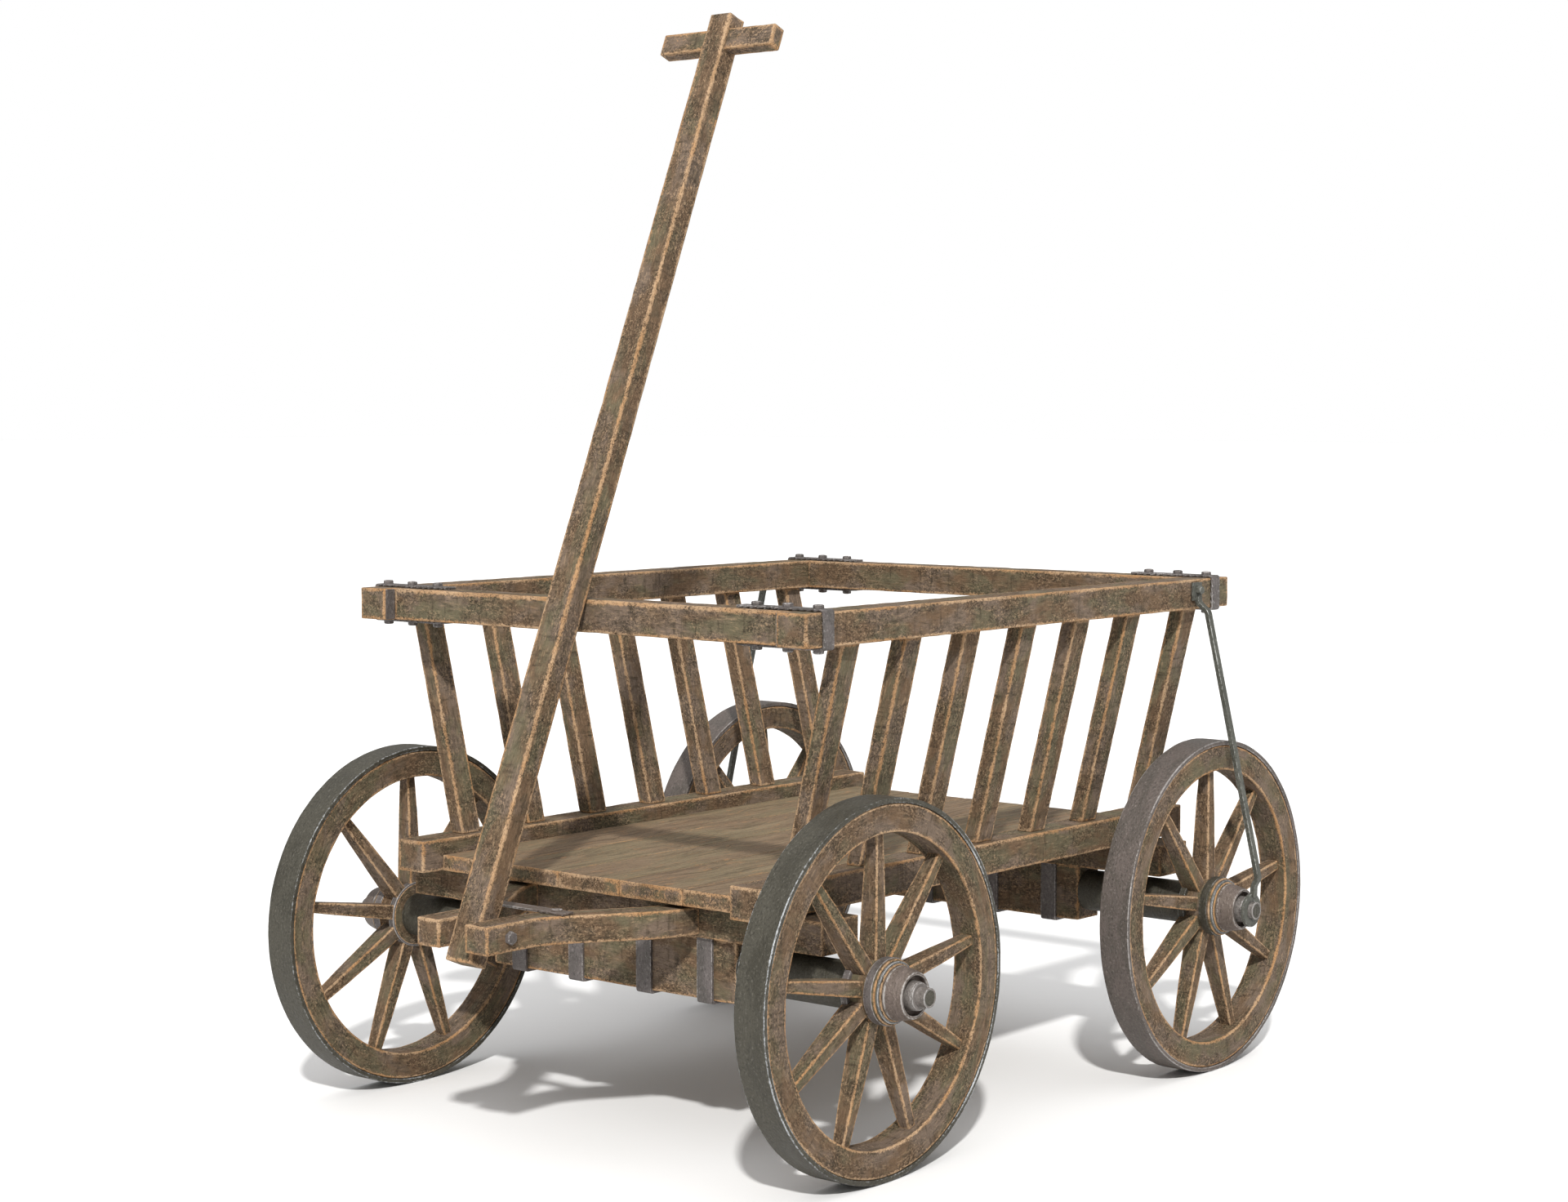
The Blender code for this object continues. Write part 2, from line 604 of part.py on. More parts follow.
def build():
    for old in list(bpy.data.objects):
        bpy.data.objects.remove(old)
    frame_wood = material("weathered_frame_wood", (0.150, 0.112, 0.078), 0.85, 0.0)
    floor_wood = material("weathered_floor_wood", (0.190, 0.145, 0.098), 0.85, 0.0)
    wheel_wood = material("weathered_wheel_wood", (0.140, 0.100, 0.070), 0.85, 0.0)
    iron = material("worn_iron", (0.110, 0.100, 0.098), 0.50, 0.9)
    steering = joint_empty("steering", (0.0, FRONT_AXLE_Y, 0.0))
    floor(frame_wood, floor_wood)
    stakes(frame_wood)
    top_frame(frame_wood)
    front, rear = cross_rail_middles()
    for word, side in (("left", 1), ("right", -1)):
        corner_strap(f"corner_strap_front_{word}", side, front, iron)
        corner_strap(f"corner_strap_rear_{word}", side, rear, iron)
        stay(f"stay_{word}", side, iron)
    king_pin(iron)
    front_gear(frame_wood, iron, steering)
    rear_gear(frame_wood, iron)
    drawbar(frame_wood, iron, steering)
    wheels(wheel_wood, iron, steering)


build()
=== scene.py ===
"""The looks of a weathered wooden hand cart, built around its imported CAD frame."""

import json
import math

import bpy
import numpy as np
from mathutils import Matrix, Vector, noise


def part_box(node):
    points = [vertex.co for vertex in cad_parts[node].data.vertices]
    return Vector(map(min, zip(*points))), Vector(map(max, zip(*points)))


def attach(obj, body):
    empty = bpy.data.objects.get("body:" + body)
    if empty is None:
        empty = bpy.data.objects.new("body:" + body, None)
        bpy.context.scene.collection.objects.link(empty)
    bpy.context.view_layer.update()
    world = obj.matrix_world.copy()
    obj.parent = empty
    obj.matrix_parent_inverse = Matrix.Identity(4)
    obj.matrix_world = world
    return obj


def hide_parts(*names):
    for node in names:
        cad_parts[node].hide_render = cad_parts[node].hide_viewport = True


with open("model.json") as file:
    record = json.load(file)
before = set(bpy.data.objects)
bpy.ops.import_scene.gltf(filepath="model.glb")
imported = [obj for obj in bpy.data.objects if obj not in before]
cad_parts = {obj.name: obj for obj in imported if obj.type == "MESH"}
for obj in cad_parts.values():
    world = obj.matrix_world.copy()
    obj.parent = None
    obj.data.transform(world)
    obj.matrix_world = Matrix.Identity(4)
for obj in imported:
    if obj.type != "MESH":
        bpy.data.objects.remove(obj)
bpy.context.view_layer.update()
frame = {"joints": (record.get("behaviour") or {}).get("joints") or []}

X, Y, Z = (np.array(v, float) for v in ((1, 0, 0), (0, 1, 0), (0, 0, 1)))
SIDES = {"left": 1, "right": -1}
ENDS = ("front", "rear")

# How far wear reaches from an arris in two steps, and the rounding on it.
WOOD_SPREAD, IRON_SPREAD = (0.0018, 0.0050), (0.0008, 0.0020)
WOOD_ROUND = 0.0017
IRON_ROUND = 0.0006
IRON_METALLIC = 0.3
SHARP_ANGLE = math.radians(32)


# ---------------------------------------------------------------- camera, light and floor

CAMERA_AT = (2.4569, -2.9885, 0.9224)
CAMERA_AZIMUTH, CAMERA_ELEVATION = math.radians(39.60), math.radians(3.92)
CAMERA_LENS, CAMERA_SENSOR = 65.45, 36.0
SUN_TRAVEL = (-1.0, 1.2, -1.3)
SUN_ENERGY, SUN_ANGLE, SUN_COLOUR = 3.05, math.radians(2.5), (1.0, 0.985, 0.96)
# Fill light from the horizon, and how much more comes from straight above.
FILL_LOW, FILL_HIGH = 0.30, 1.02
# The floor's paleness in the light it throws back up, and as the camera sees it.
FLOOR_BOUNCE, FLOOR_SEEN = 0.80, 0.93
FLOOR_HALF_SIZE, FLOOR_BELOW = 60.0, 0.0004


def add_camera():
    made = bpy.data.objects.new("camera", bpy.data.cameras.new("camera"))
    bpy.context.scene.collection.objects.link(made)
    flat = math.cos(CAMERA_ELEVATION)
    back = Vector((math.sin(CAMERA_AZIMUTH) * flat, -math.cos(CAMERA_AZIMUTH) * flat, math.sin(CAMERA_ELEVATION)))
    made.location = CAMERA_AT
    made.rotation_euler = back.to_track_quat("Z", "Y").to_euler()
    made.data.lens = CAMERA_LENS
    made.data.sensor_width = CAMERA_SENSOR
    made.data.clip_end = 100.0
    bpy.context.scene.camera = made


def add_light():
    sun = bpy.data.objects.new("sun", bpy.data.lights.new("sun", "SUN"))
    bpy.context.scene.collection.objects.link(sun)
    sun.rotation_euler = (-Vector(SUN_TRAVEL)).to_track_quat("Z", "Y").to_euler()
    sun.data.energy = SUN_ENERGY
    sun.data.angle = SUN_ANGLE
    sun.data.color = SUN_COLOUR
    world = bpy.data.worlds.new("studio")
    world.use_nodes = True
    bpy.context.scene.world = world
    nodes, links = world.node_tree.nodes, world.node_tree.links
    back = nodes["Background"]
    back.inputs["Color"].default_value = (1.0, 1.0, 1.0, 1.0)
    # The backdrop shows white; the fill light is a broad soft one from above.
    split = nodes.new("ShaderNodeSeparateXYZ")
    links.new(nodes.new("ShaderNodeTexCoord").outputs["Generated"], split.inputs[0])
    height = nodes.new("ShaderNodeMath")
    height.operation = "MAXIMUM"
    links.new(split.outputs["Z"], height.inputs[0])
    height.inputs[1].default_value = 0.0
    square = nodes.new("ShaderNodeMath")
    square.operation = "POWER"
    links.new(height.outputs[0], square.inputs[0])
    square.inputs[1].default_value = 2.0
    fill = nodes.new("ShaderNodeMapRange")
    fill.inputs["To Min"].default_value = FILL_LOW
    fill.inputs["To Max"].default_value = FILL_LOW + FILL_HIGH
    links.new(square.outputs[0], fill.inputs["Value"])
    seen = nodes.new("ShaderNodeMapRange")
    links.new(nodes.new("ShaderNodeLightPath").outputs["Is Camera Ray"], seen.inputs["Value"])
    links.new(fill.outputs["Result"], seen.inputs["To Min"])
    links.new(seen.outputs["Result"], back.inputs["Strength"])
    view = bpy.context.scene.view_settings
    view.view_transform = "Standard"
    view.look = "None"
    view.exposure = 0.0


def add_floor():
    half = FLOOR_HALF_SIZE
    mesh = bpy.data.meshes.new("studio_floor")
    mesh.from_pydata([(-half, -half, 0), (half, -half, 0), (half, half, 0), (-half, half, 0)], [], [(0, 1, 2, 3)])
    made = bpy.data.objects.new("studio_floor", mesh)
    bpy.context.scene.collection.objects.link(made)
    made.location.z = -FLOOR_BELOW
    pale = bpy.data.materials.new("studio_floor")
    pale.use_nodes = True
    shader = pale.node_tree.nodes["Principled BSDF"]
    shader.inputs["Roughness"].default_value = 0.9
    seen = pale.node_tree.nodes.new("ShaderNodeMapRange")
    seen.inputs["To Min"].default_value = FLOOR_BOUNCE
    seen.inputs["To Max"].default_value = FLOOR_SEEN
    path = pale.node_tree.nodes.new("ShaderNodeLightPath")
    pale.node_tree.links.new(path.outputs["Is Camera Ray"], seen.inputs["Value"])
    pale.node_tree.links.new(seen.outputs["Result"], shader.inputs["Base Color"])
    mesh.materials.append(pale)


# ---------------------------------------------------------------- materials


class Graph:
    """A material's node tree, with short ways to add and link nodes."""

    def __init__(self, name):
        self.material = bpy.data.materials.new(name)
        self.material.use_nodes = True
        self.tree = self.material.node_tree
        self.shader = self.tree.nodes["Principled BSDF"]

    def put(self, socket, value):
        if isinstance(value, bpy.types.NodeSocket):
            self.tree.links.new(value, socket)
        else:
            socket.default_value = value

    def node(self, kind, inputs=(), **settings):
        made = self.tree.nodes.new(kind)
        for key, value in settings.items():
            setattr(made, key, value)
        for key, value in dict(inputs).items():
            self.put(made.inputs[key], value)
        return made

    def attribute(self, name, output):
        return self.node("ShaderNodeAttribute", attribute_name=name).outputs[output]

    def math(self, operation, a, b=0.0):
        return self.node("ShaderNodeMath", {0: a, 1: b}, operation=operation).outputs[0]

    def scaled(self, vector, factors):
        return self.node("ShaderNodeVectorMath", {0: vector, 1: factors}, operation="MULTIPLY").outputs[0]

    def noise(self, vector, detail=3.0, rough=0.55, distortion=0.0):
        inputs = {"Vector": vector, "Scale": 1.0, "Detail": detail, "Roughness": rough, "Distortion": distortion}
        return self.node("ShaderNodeTexNoise", inputs).outputs["Fac"]

    def ramp(self, value, low, high, out_low=0.0, out_high=1.0):
        inputs = {"Value": value, "From Min": low, "From Max": high, "To Min": out_low, "To Max": out_high}
        return self.node("ShaderNodeMapRange", inputs, interpolation_type="SMOOTHSTEP").outputs[0]

    def mix(self, factor, a, b, blend="MIX"):
        made = self.node("ShaderNodeMix", data_type="RGBA", blend_type=blend)
        for index, value in ((0, factor), (6, a), (7, b)):
            self.put(made.inputs[index], value)
        return made.outputs[2]

    def bump(self, height, strength, distance):
        inputs = {"Height": height, "Strength": strength, "Distance": distance}
        return self.node("ShaderNodeBump", inputs).outputs["Normal"]


def rgb(*channels):
    return (*channels, 1.0)


def wood_material(name, shade):
    """Weathered timber: mottled grey-brown, crackled in patches, with fibres and cracks, and tan worn arrises."""
    g = Graph(name)
    grain = g.attribute("grain", "Vector")
    wear = g.attribute("wear", "Fac")
    patches = g.noise(g.scaled(grain, (9.0, 20.0, 20.0)), 4.0, 0.6, 0.4)
    tints = g.noise(g.scaled(grain, (14.0, 23.0, 23.0)), 3.0, 0.55)
    rough_parts = g.ramp(g.noise(g.scaled(grain, (17.0, 29.0, 29.0)), 2.0, 0.5), 0.40, 0.60)
    fibres = g.noise(g.scaled(grain, (60.0, 330.0, 330.0)), 4.0, 0.62, 0.3)
    across = g.noise(g.scaled(grain, (150.0, 22.0, 22.0)), 4.0, 0.65)
    edges = g.noise(g.scaled(grain, (42.0, 60.0, 60.0)), 3.0, 0.6)
    crackle = g.noise(g.scaled(grain, (280.0, 390.0, 390.0)), 4.0, 0.60, 0.9)
    fine = g.noise(g.scaled(grain, (900.0, 1150.0, 1150.0)), 2.0, 0.6)

    def tone(red, green, blue):
        return rgb(red * shade, green * shade, blue * shade)

    base = g.mix(g.ramp(patches, 0.40, 0.58), tone(0.125, 0.108, 0.064), tone(0.142, 0.088, 0.050))
    base = g.mix(g.ramp(tints, 0.46, 0.62), base, tone(0.165, 0.120, 0.088))
    base = g.mix(g.ramp(edges, 0.52, 0.66, 0.0, 0.50), base, tone(0.060, 0.046, 0.028))
    dark, pale = tone(0.034, 0.024, 0.014), tone(0.440, 0.300, 0.175)
    base = g.mix(g.ramp(across, 0.52, 0.70, 0.0, 0.55), base, dark)
    base = g.mix(g.ramp(fibres, 0.53, 0.70, 0.0, 0.60), base, dark)
    base = g.mix(g.ramp(fibres, 0.45, 0.32, 0.0, 0.30), base, pale)
    strength = g.math("ADD", 0.10, g.math("MULTIPLY", rough_parts, 0.58))
    base = g.mix(g.math("MULTIPLY", g.ramp(crackle, 0.51, 0.62), strength), base, dark)
    base = g.mix(g.math("MULTIPLY", g.ramp(crackle, 0.47, 0.36), g.math("MULTIPLY", strength, 0.80)), base, pale)
    base = g.mix(g.ramp(fine, 0.56, 0.70, 0.0, 0.30), base, dark)

    ragged = g.math("ADD", g.math("MULTIPLY", crackle, 1.9), g.math("MULTIPLY", fine, 0.7))
    ragged = g.math("ADD", ragged, g.math("MULTIPLY", edges, 1.2))
    mask = g.ramp(g.math("SUBTRACT", g.math("ADD", wear, 1.90), ragged), 0.36, 1.02)
    bright = g.mix(g.ramp(patches, 0.38, 0.62), rgb(0.440, 0.245, 0.112), rgb(0.500, 0.335, 0.200))
    bright = g.mix(g.ramp(crackle, 0.48, 0.62, 0.0, 0.70), bright, rgb(0.150, 0.090, 0.048))
    g.put(g.shader.inputs["Base Color"], g.mix(mask, base, bright))
    g.put(g.shader.inputs["Roughness"], g.ramp(crackle, 0.35, 0.65, 0.66, 0.92))
    g.shader.inputs["Specular IOR Level"].default_value = 0.30

    height = g.math("MULTIPLY", g.math("SUBTRACT", 1.0, crackle), g.math("ADD", 0.45, rough_parts))
    height = g.math("SUBTRACT", height, g.math("MULTIPLY", fibres, 0.55))
    height = g.math("SUBTRACT", height, g.math("MULTIPLY", g.ramp(across, 0.55, 0.75), 0.30))
    g.put(g.shader.inputs["Normal"], g.bump(height, 1.0, 0.0022))
    return g.material


def plank_material(name):
    """Floor boards: paler, with long wandering grain lines and a few cracks."""
    g = Graph(name)
    grain = g.attribute("grain", "Vector")
    wear = g.attribute("wear", "Fac")
    warp = g.noise(g.scaled(grain, (7.0, 15.0, 15.0)), 3.0, 0.55)
    shift = g.node("ShaderNodeCombineXYZ", {"Y": g.math("MULTIPLY", warp, 0.055)}).outputs[0]
    moved = g.node("ShaderNodeVectorMath", {0: grain, 1: shift}, operation="ADD").outputs[0]
    lines = g.noise(g.scaled(moved, (8.0, 130.0, 60.0)), 4.0, 0.62)
    fibres = g.noise(g.scaled(moved, (20.0, 420.0, 300.0)), 3.0, 0.6)
    patches = g.noise(g.scaled(grain, (5.0, 12.0, 12.0)), 3.0, 0.55)
    crackle = g.noise(g.scaled(grain, (240.0, 400.0, 400.0)), 4.0, 0.6, 0.6)
    fine = g.noise(g.scaled(grain, (900.0, 1150.0, 1150.0)), 2.0, 0.6)

    flecks = g.noise(g.scaled(moved, (34.0, 190.0, 120.0)), 3.0, 0.65)
    base = g.mix(g.ramp(patches, 0.36, 0.62), rgb(0.196, 0.153, 0.090), rgb(0.194, 0.134, 0.083))
    base = g.mix(g.ramp(lines, 0.50, 0.64, 0.0, 0.52), base, rgb(0.077, 0.052, 0.029))
    base = g.mix(g.ramp(lines, 0.47, 0.34, 0.0, 0.42), base, rgb(0.301, 0.232, 0.146))
    base = g.mix(g.ramp(fibres, 0.55, 0.72, 0.0, 0.50), base, rgb(0.060, 0.040, 0.022))
    base = g.mix(g.ramp(crackle, 0.56, 0.68, 0.0, 0.55), base, rgb(0.056, 0.038, 0.022))
    base = g.mix(g.ramp(crackle, 0.42, 0.31, 0.0, 0.50), base, rgb(0.361, 0.232, 0.129))
    base = g.mix(g.ramp(flecks, 0.57, 0.66, 0.0, 0.60), base, rgb(0.330, 0.185, 0.090))
    ragged = g.math("ADD", g.math("MULTIPLY", crackle, 1.9), g.math("MULTIPLY", fine, 0.7))
    ragged = g.math("ADD", ragged, g.math("MULTIPLY", lines, 1.4))
    mask = g.ramp(g.math("SUBTRACT", g.math("ADD", wear, 1.86), ragged), 0.40, 1.05)
    bright = g.mix(g.ramp(crackle, 0.48, 0.62, 0.0, 0.70), rgb(0.370, 0.215, 0.103), rgb(0.112, 0.067, 0.034))
    g.put(g.shader.inputs["Base Color"], g.mix(mask, base, bright))
    g.put(g.shader.inputs["Roughness"], g.ramp(fibres, 0.3, 0.7, 0.60, 0.88))
    g.shader.inputs["Specular IOR Level"].default_value = 0.32
    height = g.math("ADD", g.math("MULTIPLY", lines, 0.9), g.math("MULTIPLY", fibres, 0.5))
    height = g.math("SUBTRACT", g.math("MULTIPLY", g.math("SUBTRACT", 1.0, crackle), 0.45), height)
    g.put(g.shader.inputs["Normal"], g.bump(height, 1.0, 0.0016))
    return g.material


def iron_material(name, first, second, edge_colour, worn):
    """Old iron: two tones in patches, pale and dark specks, scratches, and arrises rubbed bright in places."""
    g = Graph(name)
    grain = g.attribute("grain", "Vector")
    wear = g.attribute("wear", "Fac")
    patches = g.noise(g.scaled(grain, (16.0, 34.0, 34.0)), 4.0, 0.6, 0.5)
    rubbed = g.noise(g.scaled(grain, (9.0, 14.0, 14.0)), 2.0, 0.5)
    specks = g.noise(g.scaled(grain, (260.0, 330.0, 330.0)), 4.0, 0.65, 0.5)
    fine = g.noise(g.scaled(grain, (800.0, 900.0, 900.0)), 2.0, 0.6)
    scratches = g.noise(g.scaled(grain, (60.0, 900.0, 900.0)), 2.0, 0.5, 1.2)
    base = g.mix(g.ramp(patches, 0.38, 0.62), rgb(*first), rgb(*second))
    base = g.mix(g.ramp(specks, 0.52, 0.66, 0.0, 0.60), base, rgb(*(c * 0.35 for c in first)))
    base = g.mix(g.ramp(specks, 0.44, 0.32, 0.0, 0.45), base, rgb(*(min(1.0, 0.06 + c * 1.9) for c in second)))
    base = g.mix(g.ramp(fine, 0.60, 0.72, 0.0, 0.40), base, rgb(*(c * 0.40 for c in first)))
    base = g.mix(g.ramp(scratches, 0.62, 0.72, 0.0, 0.45), base, rgb(*(min(1.0, 0.08 + c * 1.7) for c in second)))
    ragged = g.math("ADD", g.math("MULTIPLY", specks, 1.6), g.math("MULTIPLY", fine, 0.6))
    ragged = g.math("ADD", ragged, g.math("MULTIPLY", rubbed, 1.6))
    mask = g.ramp(g.math("SUBTRACT", g.math("ADD", wear, 1.66 + worn), ragged), 0.50, 1.10)
    g.put(g.shader.inputs["Base Color"], g.mix(mask, base, rgb(*edge_colour)))
    g.shader.inputs["Metallic"].default_value = IRON_METALLIC
    rough = g.ramp(patches, 0.3, 0.7, 0.42, 0.60)
    g.put(g.shader.inputs["Roughness"], g.math("SUBTRACT", rough, g.math("MULTIPLY", mask, 0.12)))
    height = g.math("SUBTRACT", g.math("MULTIPLY", fine, -0.4), specks)
    height = g.math("SUBTRACT", height, g.math("MULTIPLY", g.ramp(scratches, 0.62, 0.76), 0.35))
    g.put(g.shader.inputs["Normal"], g.bump(height, 1.0, 0.0011))
    return g.material


# ---------------------------------------------------------------- meshes


class Shape:
    """Points and faces, with how worn each point is and where it lies in its own piece's grain."""

    def __init__(self):
        self.points, self.wear, self.grain = [], [], []
        self.faces, self.slots = [], []

    def add(self, points, faces, wear, grain):
        first = len(self.points)
        self.points += [tuple(p) for p in points]
        self.wear += list(wear)
        self.grain += [tuple(p) for p in grain]
        self.faces += [tuple(first + i for i in face) for face in faces]
        self.slots += [0] * len(faces)
        return self

    def join(self, other, slot=None):
        """Takes in another shape, in its own material slots or all in one."""
        first = len(self.points)
        self.points += other.points
        self.wear += other.wear
        self.grain += other.grain
        self.faces += [tuple(first + i for i in face) for face in other.faces]
        self.slots += other.slots if slot is None else [slot] * len(other.faces)
        return self

    def moved(self, matrix):
        """A copy under a matrix, which keeps its grain."""
        made = Shape()
        a = np.array(matrix)
        made.points = [tuple(p) for p in np.array(self.points) @ a[:3, :3].T + a[:3, 3]]
        made.wear, made.grain = list(self.wear), list(self.grain)
        made.faces, made.slots = list(self.faces), list(self.slots)
        return made


def grain_start(seed):
    """Where in the noise a piece's grain starts, so that no two look alike."""
    return np.array((seed * 1.37 % 7.0, seed * 2.11 % 5.0, seed * 0.73 % 3.0))


def side_points(start, end, normal, spread):
    """Points along one flat side of a section: (x, y, wear, normal). Wear spreads in two steps from its ends."""
    near, far = spread
    start, end = np.array(start), np.array(end)
    length = float(np.linalg.norm(end - start))
    if length < 2.4 * near:
        return [(*((start + end) / 2), 0.75, *normal)]
    along = (end - start) / length
    if length < 2.4 * far:
        middle = max(0.0, 1 - (length / 2) / far)
        return [
            (*(start + along * near), 0.55, *normal),
            (*((start + end) / 2), 0.55 * middle, *normal),
            (*(end - along * near), 0.55, *normal),
        ]
    inner = length - 2 * far
    count = max(1, round(inner / 0.012))
    made = [(*(start + along * near), 0.55, *normal), (*(start + along * far), 0.0, *normal)]
    made += [(*(start + along * (far + inner * (i + 0.5) / count)), 0.0, *normal) for i in range(count)]
    made += [(*(end - along * far), 0.0, *normal), (*(end - along * near), 0.55, *normal)]
    return made


def section(a, b, radii, spread=WOOD_SPREAD):
    """A rounded rectangle's outline, anticlockwise: (x, y, wear, normal x, normal y). Radii start at +x +y."""
    corners = ((1, 1), (-1, 1), (-1, -1), (1, -1))
    arcs = []
    for k, (sx, sy) in enumerate(corners):
        r = radii[k]
        arc = []
        for step in range(4):
            angle = math.radians(90 * k + 30 * step)
            c, s = math.cos(angle), math.sin(angle)
            arc.append((sx * (a - r) + r * c, sy * (b - r) + r * s, 1.0, c, s))
        arcs.append(arc)
    made = []
    for k in range(4):
        made += arcs[k]
        angle = math.radians(90 * (k + 1))
        normal = (round(math.cos(angle)), round(math.sin(angle)))
        made += side_points(arcs[k][-1][:2], arcs[(k + 1) % 4][0][:2], normal, spread)
    return made


def stations_along(path, step):
    """Fine stations (distance, centre, u, v, a, b) between a path's given ones."""
    made, total = [], 0.0
    for (c0, u0, v0, a0, b0), (c1, u1, v1, a1, b1) in zip(path, path[1:]):
        c0, c1 = np.array(c0, float), np.array(c1, float)
        length = float(np.linalg.norm(c1 - c0))
        count = max(1, round(length / step))
        for i in range(count):
            t = i / count
            u = np.array(u0) * (1 - t) + np.array(u1) * t
            v = np.array(v0) * (1 - t) + np.array(v1) * t
            made.append((total + length * t, c0 + (c1 - c0) * t, u, v, a0 + (a1 - a0) * t, b0 + (b1 - b0) * t))
        total += length
    c1, u1, v1, a1, b1 = path[-1]
    made.append((total, np.array(c1, float), np.array(u1), np.array(v1), a1, b1))
    return made


def at_distance(stations, s):
    """A station interpolated at a distance along the path."""
    for low, high in zip(stations, stations[1:]):
        if s <= high[0] or high is stations[-1]:
            t = (s - low[0]) / (high[0] - low[0])
            return (s, *(low[k] * (1 - t) + high[k] * t for k in range(1, 6)))
    return stations[-1]


def end_rings(length, rounding, reach, spread):
    """Rings that round off one end of a bar and fade its wear: (distance, inset, wear), then the other end's."""
    r = rounding
    near = [(0.0, r, 1.0), (0.3 * r, 0.286 * r, 1.0), (r, 0.0, 1.0), (r + spread[0], 0.0, 0.55), (reach, 0.0, 0.0)]
    return near, [(length - s, inset, w) for s, inset, w in reversed(near)]


def beam(
    path,
    seed,
    rounding=WOOD_ROUND,
    step=0.011,
    dent=0.00022,
    chip=0.0006,
    closed=False,
    radii=None,
    spread=WOOD_SPREAD,
):
    """A bar of rounded rectangular section through given stations (centre, u, v, half u, half v)."""
    radii = radii or (rounding,) * 4
    raw = stations_along(path, step)
    length = raw[-1][0]
    if closed:
        rings = [(s, 0.0, 0.0) for s, *_ in raw[:-1]]
    else:
        reach = rounding + spread[1]
        near, far = end_rings(length, rounding, reach, spread)
        clear = reach + 0.25 * step
        rings = near + [(s, 0.0, 0.0) for s, *_ in raw if clear < s < length - clear] + far
    offset = grain_start(seed)
    points, wear, grain, faces = [], [], [], []
    for s, inset, end_wear in rings:
        _, centre, u, v, a, b = at_distance(raw, s)
        # On a closed ring the grain runs out and back, so that it meets itself.
        lengthwise = min(s, length - s) if closed else s
        small = [max(r - inset, 0.0002) for r in radii]
        outline = section(a - inset, b - inset, small, spread)
        n = len(outline)
        for x, y, w, nx, ny in outline:
            p = centre + u * x + v * y
            q = Vector(p * 28.0 + offset * 9.0)
            depth = dent * noise.noise(q)
            worn = max(w, end_wear)
            if worn > 0.5:
                depth -= chip * max(0.0, noise.noise(q * 2.3) + 0.15) + 0.4 * chip * max(0.0, noise.noise(q * 7.0))
            points.append(p + (u * nx + v * ny) * depth)
            wear.append(worn)
            grain.append(offset + (lengthwise, x, y))
    total = len(rings)
    for i in range(total if closed else total - 1):
        j = (i + 1) % total
        for k in range(n):
            m = (k + 1) % n
            faces.append((i * n + k, i * n + m, j * n + m, j * n + k))
    for end, s in () if closed else ((0, 0.0), (total - 1, length)):
        # An end face: its outline, the same drawn in to where the wear stops, and a middle point.
        _, centre, u, v, a, b = at_distance(raw, s)
        first = len(points)
        fade = min(rounding + spread[1], 0.8 * min(a, b))
        fx = max(0.0, 1 - (fade - rounding) / max(a - rounding, 1e-6))
        fy = max(0.0, 1 - (fade - rounding) / max(b - rounding, 1e-6))
        for k in range(n):
            _, x, y = grain[end * n + k] - offset
            points.append(centre + u * x * fx + v * y * fy)
            wear.append(0.0)
            grain.append(offset + (s, x * fx, y * fy))
        middle = len(points)
        points.append(centre)
        wear.append(0.0)
        grain.append(offset + (s, 0.0, 0.0))
        turn = -1 if end else 1
        for k in range(n):
            m = (k + 1) % n
            faces.append((end * n + k, first + k, first + m, end * n + m)[::turn])
        for k in range(n):
            m = (k + 1) % n
            faces.append((first + k, middle, first + m)[::turn])
    return Shape().add(points, faces, wear, grain)


def straight(low, high, axis, seed, **options):
    """A beam that fills a box, running along one of its axes (0, 1 or 2)."""
    low, high = np.array(low, float), np.array(high, float)
    middle, half = (low + high) / 2, (high - low) / 2
    u, v = ((Y, Z), (Z, X), (X, Y))[axis]
    a, b = float(abs(half @ u)), float(abs(half @ v))
    start, end = middle.copy(), middle.copy()
    start[axis], end[axis] = low[axis], high[axis]
    return beam([(start, u, v, a, b), (end, u, v, a, b)], seed, **options)


def rounded_path(points, radius, parts=4):
    """A polyline with each bend replaced by a short arc."""
    points = [np.array(p, float) for p in points]
    made = [points[0]]
    for before, here, after in zip(points, points[1:], points[2:]):
        back, on = before - here, after - here
        back, on = back / np.linalg.norm(back), on / np.linalg.norm(on)
        reach = radius
        start, end = here + back * reach, here + on * reach
        for i in range(parts + 1):
            t = i / parts
            made.append((1 - t) ** 2 * start + 2 * t * (1 - t) * here + t**2 * end)
    made.append(points[-1])
    return made


def strip(path, across, half_width, half_thick, seed, bend=0.004, **options):
    """A flat iron strip along a path: its width lies along one fixed axis."""
    points = rounded_path(path, bend)
    across = np.array(across, float)
    made = []
    for i, p in enumerate(points):
        along = points[min(i + 1, len(points) - 1)] - points[max(i - 1, 0)]
        along = along / np.linalg.norm(along)
        made.append((p, across, np.cross(along, across), half_width, half_thick))
    return beam(made, seed, rounding=IRON_ROUND, dent=0.00008, chip=0.00015, spread=IRON_SPREAD, **options)


